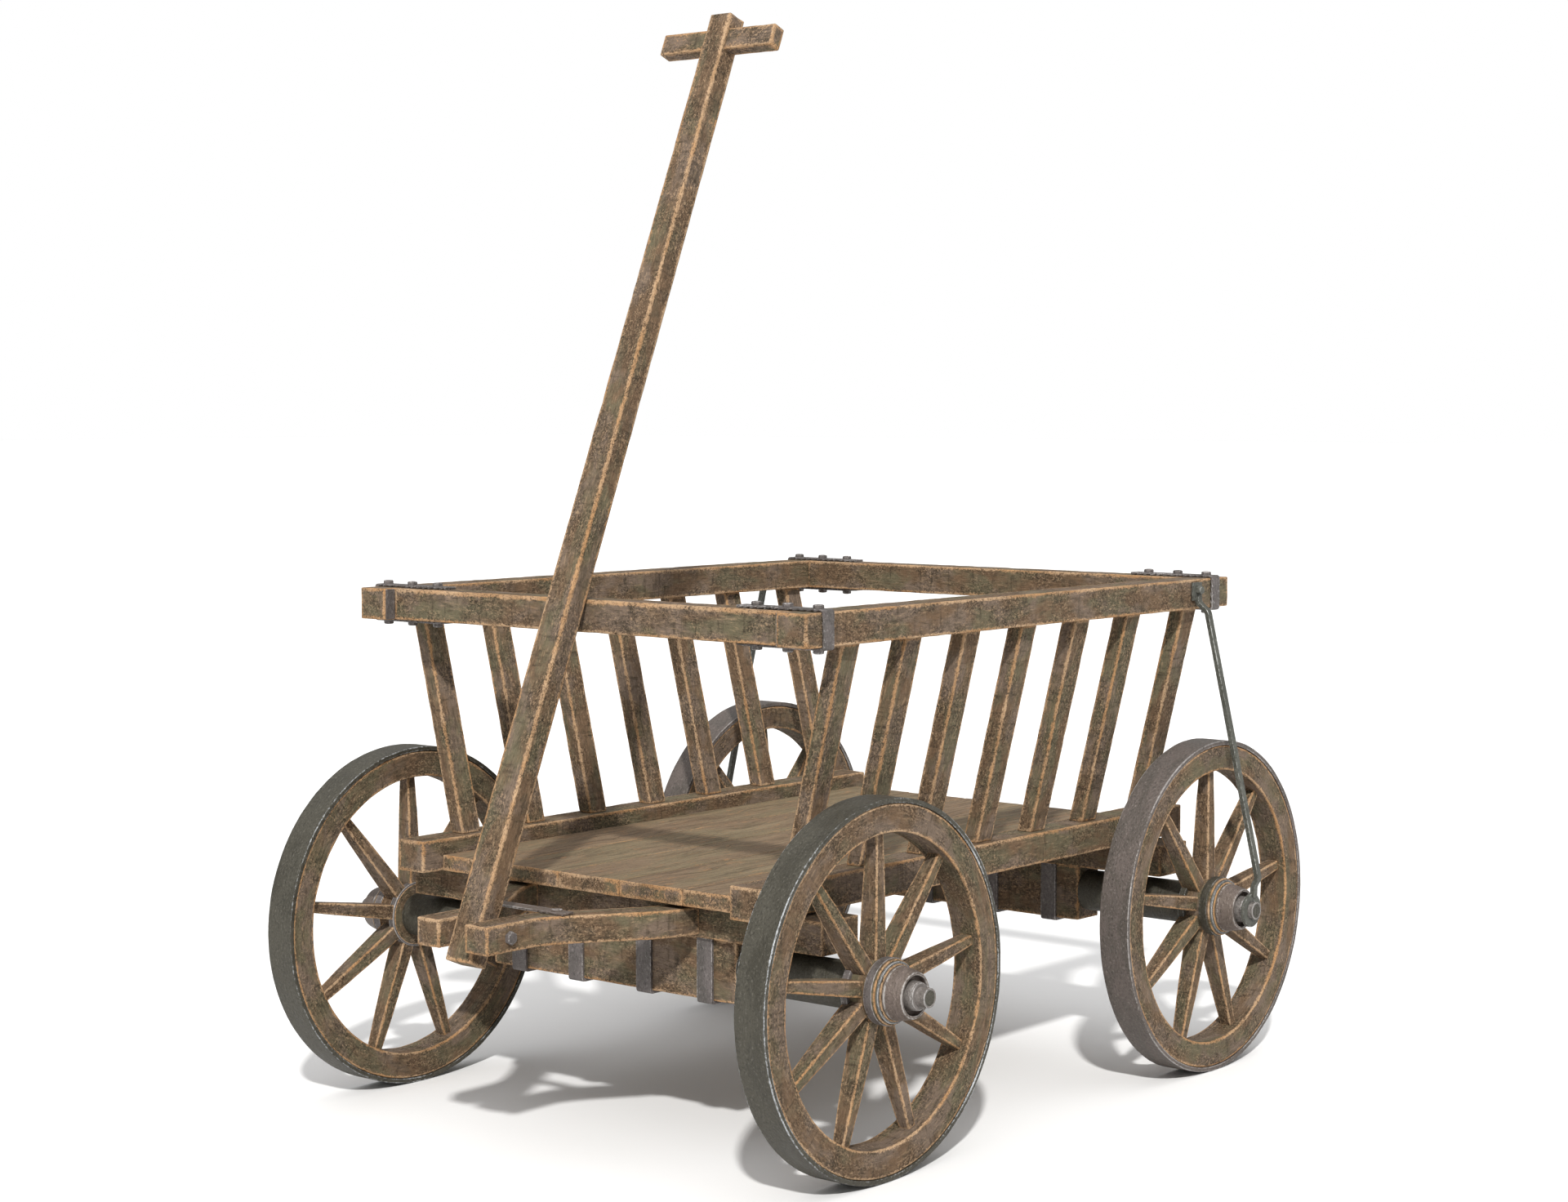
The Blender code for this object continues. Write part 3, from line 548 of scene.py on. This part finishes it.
def softened(profile, cut):
    """A closed lathe profile with every corner cut and every convex one marked as worn: (x, r, wear)."""
    area = sum(a[0] * b[1] - b[0] * a[1] for a, b in zip(profile, profile[1:] + profile[:1]))
    made = []
    for before, here, after in zip(profile[-1:] + profile[:-1], profile, profile[1:] + profile[:1]):
        back = np.array(before) - np.array(here)
        on = np.array(after) - np.array(here)
        lb, lo = float(np.linalg.norm(back)), float(np.linalg.norm(on))
        turn = float(on[0] * back[1] - on[1] * back[0]) * (1 if area > 0 else -1)
        worn = 1.0 if turn > 0.15 * lb * lo else 0.0
        c = min(cut, 0.3 * lb, 0.3 * lo)
        band = min(c + 0.0012, 0.42 * lb), min(c + 0.0012, 0.42 * lo)
        if worn:
            made.append((*(np.array(here) + back / lb * band[0]), 0.1))
        made.append((*(np.array(here) + back / lb * c), worn))
        if worn:
            made.append((*(np.array(here) + (back / lb + on / lo) * c * 0.30), worn))
        made.append((*(np.array(here) + on / lo * c), worn))
        if worn:
            made.append((*(np.array(here) + on / lo * band[1]), 0.1))
    return made


def lathe(profile, seed, segments=48, cut=0.0006, dent=0.00012):
    """A ring about the X axis from a closed profile of (x, radius)."""
    outline = softened(profile, cut)
    offset = grain_start(seed)
    points, wear, grain, faces = [], [], [], []
    n = len(outline)
    for i in range(segments):
        angle = math.tau * i / segments
        c, s = math.cos(angle), math.sin(angle)
        for x, r, w in outline:
            q = Vector((x * 60, c * 2.2, s * 2.2)) + Vector(offset * 9.0)
            deep = dent * noise.noise(q) - (0.5 * dent if w > 0.5 else 0.0)
            points.append((x, (r + deep) * c, (r + deep) * s))
            wear.append(w)
            grain.append(offset + (r * min(angle, math.tau - angle), x, r))
    for i in range(segments):
        j = (i + 1) % segments
        for k in range(n):
            m = (k + 1) % n
            faces.append((i * n + k, i * n + m, j * n + m, j * n + k))
    return Shape().add(points, faces, wear, grain)


def stud(centre, direction, radius, height, seed, hexagon=True):
    """A bolt's head or nut: six flats with a rounded crown, standing on a face."""
    direction = np.array(direction, float)
    helper = X if abs(direction[0]) < 0.9 else Y
    u = np.cross(direction, helper)
    u = u / np.linalg.norm(u)
    v = np.cross(direction, u)
    sides = 24
    offset = grain_start(seed)
    rings = ((-0.0004, 1.0, hexagon, 0.3), (0.70 * height, 1.0, hexagon, 0.6), (0.86 * height, 0.94, hexagon, 1.0))
    rings += ((height, 0.78, False, 1.0), (1.06 * height, 0.45, False, 0.2))
    points, wear, grain, faces = [], [], [], []
    for h, scale, flats, w in rings:
        for i in range(sides):
            angle = math.tau * i / sides
            r = radius * scale
            if flats:
                r *= math.cos(math.pi / 6) / math.cos(angle % (math.pi / 3) - math.pi / 6)
            points.append(np.array(centre) + direction * h + (u * math.cos(angle) + v * math.sin(angle)) * r)
            wear.append(w)
            grain.append(offset + (r * math.cos(angle), r * math.sin(angle), h))
    for k in range(len(rings) - 1):
        for i in range(sides):
            j = (i + 1) % sides
            faces.append((k * sides + i, k * sides + j, (k + 1) * sides + j, (k + 1) * sides + i))
    faces.append(tuple((len(rings) - 1) * sides + i for i in range(sides)))
    faces.append(tuple(reversed(range(sides))))
    return Shape().add(points, faces, wear, grain)


def piece(name, shape, materials, body, replaced):
    """Makes a shape into an object on a body, in the place of some CAD nodes."""
    mesh = bpy.data.meshes.new(name)
    mesh.from_pydata(shape.points, [], shape.faces)
    mesh.attributes.new("wear", "FLOAT", "POINT").data.foreach_set("value", shape.wear)
    flat = np.array(shape.grain, np.float32).ravel()
    mesh.attributes.new("grain", "FLOAT_VECTOR", "POINT").data.foreach_set("vector", flat)
    for material in materials:
        mesh.materials.append(material)
    mesh.polygons.foreach_set("material_index", shape.slots)
    mesh.validate()
    mesh.shade_smooth()
    mesh.set_sharp_from_angle(angle=SHARP_ANGLE)
    made = bpy.data.objects.new(name, mesh)
    bpy.context.scene.collection.objects.link(made)
    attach(made, body)
    if replaced:
        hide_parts(*replaced)


# ---------------------------------------------------------------- the cart's pieces

WOOD = wood_material("frame_wood", 1.10)
WHEEL_WOOD = wood_material("wheel_wood", 1.04)
PLANK = plank_material("floor_wood")
IRONS = {
    # name: (first tone, second tone, rubbed arrises, how much is rubbed)
    "tyre_iron_dark": ((0.055, 0.050, 0.036), (0.075, 0.069, 0.052), (0.50, 0.52, 0.54), -0.12),
    "tyre_iron_mauve": ((0.106, 0.090, 0.077), (0.144, 0.118, 0.105), (0.38, 0.36, 0.35), 0.0),
    "axle_iron": ((0.185, 0.165, 0.150), (0.245, 0.222, 0.208), (0.50, 0.49, 0.48), 0.0),
    "cap_iron": ((0.141, 0.110, 0.090), (0.180, 0.143, 0.124), (0.46, 0.44, 0.42), 0.0),
    "strap_iron": ((0.108, 0.096, 0.088), (0.158, 0.138, 0.132), (0.46, 0.44, 0.43), -0.02),
    "stay_iron": ((0.082, 0.083, 0.068), (0.122, 0.124, 0.106), (0.42, 0.43, 0.41), -0.05),
    "band_iron": ((0.125, 0.135, 0.140), (0.165, 0.172, 0.175), (0.48, 0.48, 0.47), 0.0),
}
DARK_IRON, MAUVE_IRON, AXLE_IRON, CAP_IRON, STRAP_IRON, STAY_IRON, BLUE_IRON = (
    iron_material(name, *tones) for name, tones in IRONS.items()
)
# How rubbed the handle and the top of the pole are all over, and the heights between which it sets in.
HANDLED = 0.30
HANDLED_FROM, HANDLED_OVER = 0.70, 0.60
# A lathe profile that closes on its own axis stops just short of it.
ON_AXIS = 0.0004
AXLE_PIN_R, NAVE_BORE_R = 0.0122, 0.0128
WHEEL_R, SPOKES = 0.230, 9
ARM_TIP_X, ARM_ROOT_X, ARM_HALF = 0.0411, 0.139, 0.019
SEED = [0]


def seed():
    """The next number for a piece's noise, the same in every run."""
    SEED[0] += 1
    return SEED[0]


def wooden(name, shape, body):
    piece(name, shape, [WOOD], body, (name,))


def box_of(node):
    """A node's lowest and highest corners at rest."""
    low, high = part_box(node)
    return np.array(low), np.array(high)


def facing(side):
    """Turns a shape made for the left side (+X) to its own side."""
    return Matrix.Rotation(0.0 if side > 0 else math.pi, 4, "Z")


def add_rails():
    for word in SIDES:
        wooden(f"bottom_rail_{word}", straight(*box_of(f"bottom_rail_{word}"), 1, seed()), "cart")
        wooden(f"top_rail_{word}", straight(*box_of(f"top_rail_{word}"), 1, seed()), "cart")
    # The front rail's upper front arris is rubbed round where the pole leans on it.
    rest = (WOOD_ROUND, 0.0036, WOOD_ROUND, WOOD_ROUND)
    wooden("top_rail_front", straight(*box_of("top_rail_front"), 0, seed(), radii=rest), "cart")
    wooden("top_rail_rear", straight(*box_of("top_rail_rear"), 0, seed()), "cart")


def add_floor_boards():
    for i in range(1, 6):
        name = f"floor_plank_{i}"
        low, high = box_of(name)
        shape = straight(low, high, 1, seed(), rounding=0.0012, step=0.02)
        # The board's width is the second direction of its grain, and only its ends are much worn.
        shape.grain = [(s, x, y) for s, y, x in shape.grain]
        ends = [min(p[1] - low[1], high[1] - p[1]) for p in shape.points]
        end_face, end_arris, end_band = 0.0002, 0.002, 0.0032
        on_end, on_top = 0.38, 0.62
        shape.wear = [
            max(w, on_end) if e < end_face else w if e < end_arris else on_top * w for w, e in zip(shape.wear, ends)
        ]
        shape.slots = [int(max(ends[k] for k in face) < end_band) for face in shape.faces]
        piece(name, shape, [PLANK, WOOD], "cart", (name,))


def add_stakes():
    half_thick = 0.01125
    for word, side in SIDES.items():
        for i in range(1, 8):
            name = f"stake_{word}_{i}"
            low, high = box_of(name)
            foot = low[0] + half_thick if side > 0 else high[0] - half_thick
            head = high[0] - half_thick if side > 0 else low[0] + half_thick
            y, half_wide = (low[1] + high[1]) / 2, (high[1] - low[1]) / 2
            path = [((x, y, z), X, Y, half_thick, half_wide) for x, z in ((foot, low[2]), (head, high[2]))]
            wooden(name, beam(path, seed(), rounding=0.0015), "cart")


def strap_bolts(places, z_top, z_bottom, side):
    made = Shape()
    radius, height = 0.0068, 0.0046
    for x, y in places:
        made.join(stud((side * x, y, z_top), Z, radius, height, seed()))
        made.join(stud((side * x, y, z_bottom), -Z, radius, height, seed()))
    return made


def horn_plate(word, side):
    """The thin plate on the inner face of a side rail, where it runs out past the front rail."""
    thick, below_arris = 0.0012, 0.0010
    rail_low, rail_high = box_of(f"top_rail_{word}")
    cross_front = box_of("top_rail_front")[0][1]
    inner_face = rail_low[0] if side > 0 else rail_high[0]
    near, far = sorted((inner_face, inner_face - side * thick))
    low = (near, rail_low[1] + 0.0016, rail_low[2] + below_arris)
    high = (far, cross_front - 0.0002, rail_high[2] - below_arris)
    return straight(low, high, 2, seed(), rounding=0.0004, spread=IRON_SPREAD, chip=0.0001)


def add_corner_straps():
    bolt_head, half_thick = 0.005, 0.00175
    bolt_at = (0.274, 0.322, 0.3685)
    for end in ENDS:
        for word, side in SIDES.items():
            name = f"corner_strap_{end}_{word}"
            low, high = box_of(name)
            y, half_width = (low[1] + high[1]) / 2, (high[1] - low[1]) / 2
            top, bottom = high[2] - bolt_head, low[2] + bolt_head
            inner = low[0] if side > 0 else -high[0]
            outer = high[0] if side > 0 else -low[0]
            path = [(inner, top - half_thick), (outer - half_thick, top - half_thick)]
            path += [(outer - half_thick, bottom + half_thick), (inner, bottom + half_thick)]
            path = [(side * x, y, z) for x, z in path]
            shape = strip(path, Y, half_width, half_thick, seed(), bend=0.003)
            shape.join(strap_bolts([(x, y) for x in bolt_at], top, bottom, side))
            if end == "front":
                shape.join(horn_plate(word, side))
            piece(name, shape, [STRAP_IRON], "cart", (name,))


def hoop(radius, a, b, hoop_seed, **options):
    """A ring about the X axis of rounded rectangular section."""
    steps = 120
    path = []
    for i in range(steps + 1):
        angle = math.tau * i / steps
        out = np.array((0.0, math.cos(angle), math.sin(angle)))
        path.append((out * radius, X, out, a, b))
    return beam(path, hoop_seed, closed=True, step=1.0, **options)


def spoke(angle, spoke_seed):
    """A tapered spoke: its radius, its two faces across X and its width at each station."""
    stations = (
        (0.034, (-0.0150, 0.0115), 0.0200),
        (0.060, (-0.0150, 0.0115), 0.0195),
        (0.140, (-0.0105, 0.0105), 0.0160),
        (0.190, (-0.0070, 0.0095), 0.0130),
    )
    out = np.array((0.0, math.cos(angle), math.sin(angle)))
    across = np.array((0.0, -math.sin(angle), math.cos(angle)))
    path = []
    for radius, (x0, x1), wide in stations:
        path.append((out * radius + X * (x0 + x1) / 2, X, across, (x1 - x0) / 2, wide / 2))
    return beam(path, spoke_seed, rounding=0.0014, dent=0.00015, chip=0.0003, spread=(0.0010, 0.0028))


def wheel_shapes(wheel_seed):
    """One wheel about the origin, outer side at +X: its tyre, its wood with the nave's bands, and its cap."""
    thick, half = 0.0062, 0.0225
    tyre_look = {"rounding": 0.0010, "dent": 0.00025, "chip": 0.0004, "spread": IRON_SPREAD}
    tyre = hoop(WHEEL_R - thick / 2, half, thick / 2, wheel_seed, **tyre_look)
    outer, inner, felloe_half = WHEEL_R - thick - 0.0003, 0.189, 0.021
    felloe_look = {"rounding": 0.0016, "spread": (0.0014, 0.0040)}
    wood = hoop((outer + inner) / 2, felloe_half, (outer - inner) / 2, wheel_seed + 1, **felloe_look)
    for i in range(SPOKES):
        wood.join(spoke(math.pi / 2 + math.tau * i / SPOKES, wheel_seed + 2 + i))
    nave = [(-0.0165, NAVE_BORE_R), (-0.0165, 0.0412), (-0.0150, 0.0412), (-0.0130, 0.0386), (0.0150, 0.0382)]
    nave += [(0.0150, 0.0396), (0.0312, 0.0396), (0.0318, 0.0352), (0.0366, 0.0345), (0.0366, NAVE_BORE_R)]
    wood.join(lathe(nave, wheel_seed + 20, cut=0.0009))
    band_back = [(-0.0160, 0.0410), (-0.0160, 0.0440), (-0.0070, 0.0440), (-0.0065, 0.0385)]
    band_front = [(0.0156, 0.0394), (0.0156, 0.0408), (0.0272, 0.0408), (0.0272, 0.0394)]
    band_thin = [(0.0316, 0.0350), (0.0316, 0.0372), (0.0345, 0.0372), (0.0345, 0.0346)]
    wood.join(lathe(band_back, wheel_seed + 21), 1)
    wood.join(lathe(band_front, wheel_seed + 22), 1)
    wood.join(lathe(band_thin, wheel_seed + 23), 2)
    cap = [(0.0369, NAVE_BORE_R), (0.0369, 0.0330), (0.0400, 0.0330), (0.0590, 0.0290), (0.0625, 0.0278)]
    cap += [(0.0625, 0.0243), (0.0530, 0.0243), (0.0530, NAVE_BORE_R)]
    return tyre, wood, lathe(cap, wheel_seed + 24, cut=0.0010, dent=0.00025)


def add_wheels():
    # Each wheel's noise has a run of numbers of its own, clear of the other wheels'.
    first_seed, seeds_each = 100, 60
    for e, end in enumerate(ENDS):
        tyre_iron, band_iron = ((DARK_IRON, STRAP_IRON), (MAUVE_IRON, DARK_IRON))[e]
        for w, (word, side) in enumerate(SIDES.items()):
            low, high = box_of(f"tyre_{end}_{word}")
            centre = ((low[0] + high[0]) / 2, (low[1] + high[1]) / 2, WHEEL_R)
            place = Matrix.Translation(centre) @ facing(side)
            tyre, wood, cap = (s.moved(place) for s in wheel_shapes(first_seed + seeds_each * (2 * e + w)))
            for name, shape, materials, slot in (
                ("tyre", tyre, [tyre_iron], "tyre_iron"),
                ("wheel", wood, [WHEEL_WOOD, band_iron, BLUE_IRON], "wheel_wood"),
                ("nave_cap", cap, [CAP_IRON], "iron"),
            ):
                node = f"{name}_{end}_{word}"
                piece(node, shape, materials, f"wheel_{end}_{word}_body", (node,))


def add_axles():
    for end, body in (("front", "steering"), ("rear", "cart")):
        name = f"{end}_axle"
        low, high = box_of(name)
        y, z = (low[1] + high[1]) / 2, (low[2] + high[2]) / 2
        tip = high[0]
        nut = [(0.4556, ON_AXIS), (0.4556, 0.0180), (0.4600, 0.0180), (0.4700, 0.0172), (0.4725, 0.0165)]
        nut += [(0.4725, ON_AXIS)]
        pin = [(0.385, ON_AXIS), (0.385, AXLE_PIN_R), (tip, 0.0120), (tip, 0.0104), (tip - 0.0004, 0.0100)]
        pin += [(tip - 0.0004, ON_AXIS)]
        face = [(tip - 0.003, ON_AXIS), (tip - 0.003, 0.0101), (tip - 0.0003, 0.0101), (tip - 0.0003, ON_AXIS)]
        sleeve = [(0.2106, ON_AXIS), (0.2106, 0.0288), (0.3856, 0.0288), (0.3856, ON_AXIS)]
        shape = Shape()
        for side in SIDES.values():
            place = Matrix.Translation((0, y, z)) @ facing(side)
            for profile, slot in ((sleeve, 1), (nut, 0), (pin, 0), (face, 1)):
                shape.join(lathe(profile, seed(), cut=0.0007).moved(place), slot)
        piece(name, shape, [AXLE_IRON, DARK_IRON], body, (name,))


def add_beds():
    # Timbers tucked under the floor have their worn arrises dimmed: painted shade, for the floor's shadow over them.
    for name, body, shade_dimmed in (
        ("front_axle_bed", "steering", 0.90),
        ("rear_axle_bed", "cart", 0.90),
        ("front_bolster", "steering", 0.72),
        ("rear_bolster", "cart", 0.72),
    ):
        shape = straight(*box_of(name), 0, seed())
        # Painted shade: the arris wear is scaled down, so these shaded timbers' arrises come out darker.
        shape.wear = [w * shade_dimmed for w in shape.wear]
        wooden(name, shape, body)
    half, gap, strap_half_width = 0.002, 0.0003, 0.0125
    for end, body in (("front", "steering"), ("rear", "cart")):
        low, high = box_of(f"{end}_axle_bed")
        y0, y1, under = low[1] - half - gap, high[1] + half + gap, low[2] - half - gap
        for i, x in enumerate((-0.161, -0.059, 0.059, 0.161)):
            path = [(x, y0, high[2]), (x, y0, under), (x, y1, under), (x, y1, high[2])]
            shape = strip(path, X, strap_half_width, half, seed(), bend=0.003)
            # Only the front axle's straps have nodes of their own to stand for.
            replaced = (f"axle_strap_{i + 1}",) if end == "front" else ()
            piece(f"axle_strap_{end}_{i + 1}", shape, [STRAP_IRON], body, replaced)


def add_arms():
    """Each arm runs straight beside the pole's foot, then swings out in one smooth bend to the bolster."""
    straight_length, steps = 0.0696, 14
    for word, side in SIDES.items():
        name = f"drawbar_arm_{word}"
        low, high = box_of(name)
        bolster_front = box_of("front_bolster")[0][1]
        z, half_high = (low[2] + high[2]) / 2, (high[2] - low[2]) / 2
        bend_from = low[1] + straight_length
        centres = []
        for i in range(steps + 1):
            t = i / steps
            ease = t * t * (3 - 2 * t)
            centres.append((ARM_TIP_X + (ARM_ROOT_X - ARM_TIP_X) * ease, bend_from + (bolster_front - bend_from) * t))
        stations = [((side * ARM_TIP_X, low[1], z), X, Z, ARM_HALF, half_high)]
        for i, (x, y) in enumerate(centres):
            before, after = centres[max(i - 1, 0)], centres[min(i + 1, steps)]
            along = np.array((side * (after[0] - before[0]), after[1] - before[1], 0.0))
            along = along / np.linalg.norm(along)
            if i == 0 or i == steps:
                along = Y
            stations.append(((side * x, y, z), np.cross(along, Z), Z, ARM_HALF, half_high))
        wooden(name, beam(stations, seed()), "steering")


def add_brace():
    low, high = box_of("arm_brace")
    arm_top = box_of("drawbar_arm_left")[1][2]
    y, half_width = (low[1] + high[1]) / 2, (high[1] - low[1]) / 2
    half_thick, rivet_x = 0.0015, 0.057
    z = arm_top + 0.0018
    shape = strip([(low[0], y, z), (high[0], y, z)], Y, half_width, half_thick, seed())
    for x in (-rivet_x, rivet_x):
        shape.join(stud((x, y, z + half_thick), Z, 0.0068, 0.0026, seed(), hexagon=False))
    piece("arm_brace", shape, [CAP_IRON], "steering", ("arm_brace",))


def add_drawbar():
    """The pole's own line comes from the joint it turns on and from its handle's middle."""
    joint = next(j for j in frame["joints"] if j["name"] == "drawbar_swing")
    pin = np.array(joint["pos_m"], float)
    grip_low, grip_high = box_of("drawbar_handle")
    grip = (grip_low + grip_high) / 2
    along = grip - pin
    along[0] = 0.0
    along = along / float(np.linalg.norm(along))
    back = np.cross(along, X) * -1
    back = back if back[1] > 0 else -back

    half_thick, foot, head = 0.0155, -0.0405, 1.2340
    half_wide_foot, half_wide_head = 0.0214, 0.0175
    path = [(pin + along * foot, X, back, half_wide_foot, half_thick)]
    path += [(pin + along * head, X, back, half_wide_head, half_thick)]
    pole = beam(path, seed(), rounding=0.0022, radii=(0.0040, 0.0040, 0.0022, 0.0022))
    # Hands have rubbed the upper half of the pole, and all of its handle.
    heights = np.clip((np.array(pole.points)[:, 2] - HANDLED_FROM) / HANDLED_OVER, 0.0, 1.0)
    pole.wear = [max(w, HANDLED * float(h)) for w, h in zip(pole.wear, heights)]
    wooden("drawbar_pole", pole, "drawbar")

    half_along, half_deep, half_long = 0.015, 0.010, 0.095
    ends = [(grip + X * x, back, along, half_deep, half_along) for x in (-half_long, half_long)]
    handle = beam(ends, seed(), rounding=0.0019)
    handle.wear = [max(w, HANDLED) for w in handle.wear]
    wooden("drawbar_handle", handle, "drawbar")

    head_radius, rod_radius, rod_half = 0.0085, 0.005, 0.060
    face = ARM_TIP_X + ARM_HALF
    shape = stud((face, pin[1], pin[2]), X, head_radius, 0.0058, seed())
    shape.join(stud((-face, pin[1], pin[2]), -X, head_radius, 0.0066, seed()))
    rod = [(-rod_half, ON_AXIS), (-rod_half, rod_radius), (rod_half, rod_radius), (rod_half, ON_AXIS)]
    shape.join(lathe(rod, seed(), 20).moved(Matrix.Translation((0.0, pin[1], pin[2]))))
    piece("drawbar_pin", shape, [STRAP_IRON], "drawbar", ("drawbar_pin",))


def add_stays():
    """A tab bolted to the top rail, a cranked rod down past the wheel, and an eye on the axle's end."""
    rail_face = box_of("top_rail_left")[1][0] + 0.0003
    rear_low, rear_high = box_of("rear_axle")
    axle_y, axle_z = (rear_low[1] + rear_high[1]) / 2, (rear_low[2] + rear_high[2]) / 2
    y = axle_y + 0.004
    tab_top, tab_bolt, tab_bottom, tab_half = 0.6780, 0.6675, 0.6530, 0.0017
    rod = [(rail_face + 0.0045, 0.6590), (rail_face + 0.0050, 0.6500), (0.4015, 0.6380), (0.4855, 0.2740)]
    rod += [(0.4790, 0.2640), (0.4785, 0.2480)]
    eye = [(0.4745, NAVE_BORE_R), (0.4745, 0.0232), (0.4793, 0.0232), (0.4793, NAVE_BORE_R)]
    for word, side in SIDES.items():
        name = f"stay_{word}"
        tab_x = side * (rail_face + tab_half)
        shape = strip([(tab_x, y, tab_bottom), (tab_x, y, tab_top)], Y, 0.012, tab_half, seed())
        shape.join(stud((side * (rail_face + 2 * tab_half), y, tab_bolt), X * side, 0.0062, 0.0080, seed()))
        shape.join(strip([(side * x, y, z) for x, z in rod], Y, 0.0050, 0.0032, seed(), bend=0.004))
        place = Matrix.Translation((0, axle_y, axle_z)) @ facing(side)
        shape.join(lathe(eye, seed(), 40).moved(place))
        piece(name, shape, [STAY_IRON], "cart", (name,))


def add_king_pin():
    low, high = box_of("king_pin")
    plate_thick, radius, under_plate = 0.002, 0.008, high[2] - 0.001
    plate = straight((low[0], low[1], high[2] - plate_thick), high, 0, seed(), rounding=0.0006, step=0.02)
    profile = [(low[2], ON_AXIS), (low[2], radius), (under_plate, radius), (under_plate, ON_AXIS)]
    # Swapping X and Z stands the pin up and turns its faces inside out, so they are turned back.
    upright = Matrix(((0, 0, 1, 0), (0, 1, 0, (low[1] + high[1]) / 2), (1, 0, 0, 0), (0, 0, 0, 1)))
    pin = lathe(profile, seed(), 24).moved(upright)
    pin.faces = [face[::-1] for face in pin.faces]
    piece("king_pin", plate.join(pin), [STRAP_IRON], "cart", ("king_pin",))


add_camera()
add_light()
add_floor()
add_rails()
add_floor_boards()
add_stakes()
add_corner_straps()
add_wheels()
add_axles()
add_beds()
add_arms()
add_brace()
add_drawbar()
add_stays()
add_king_pin()
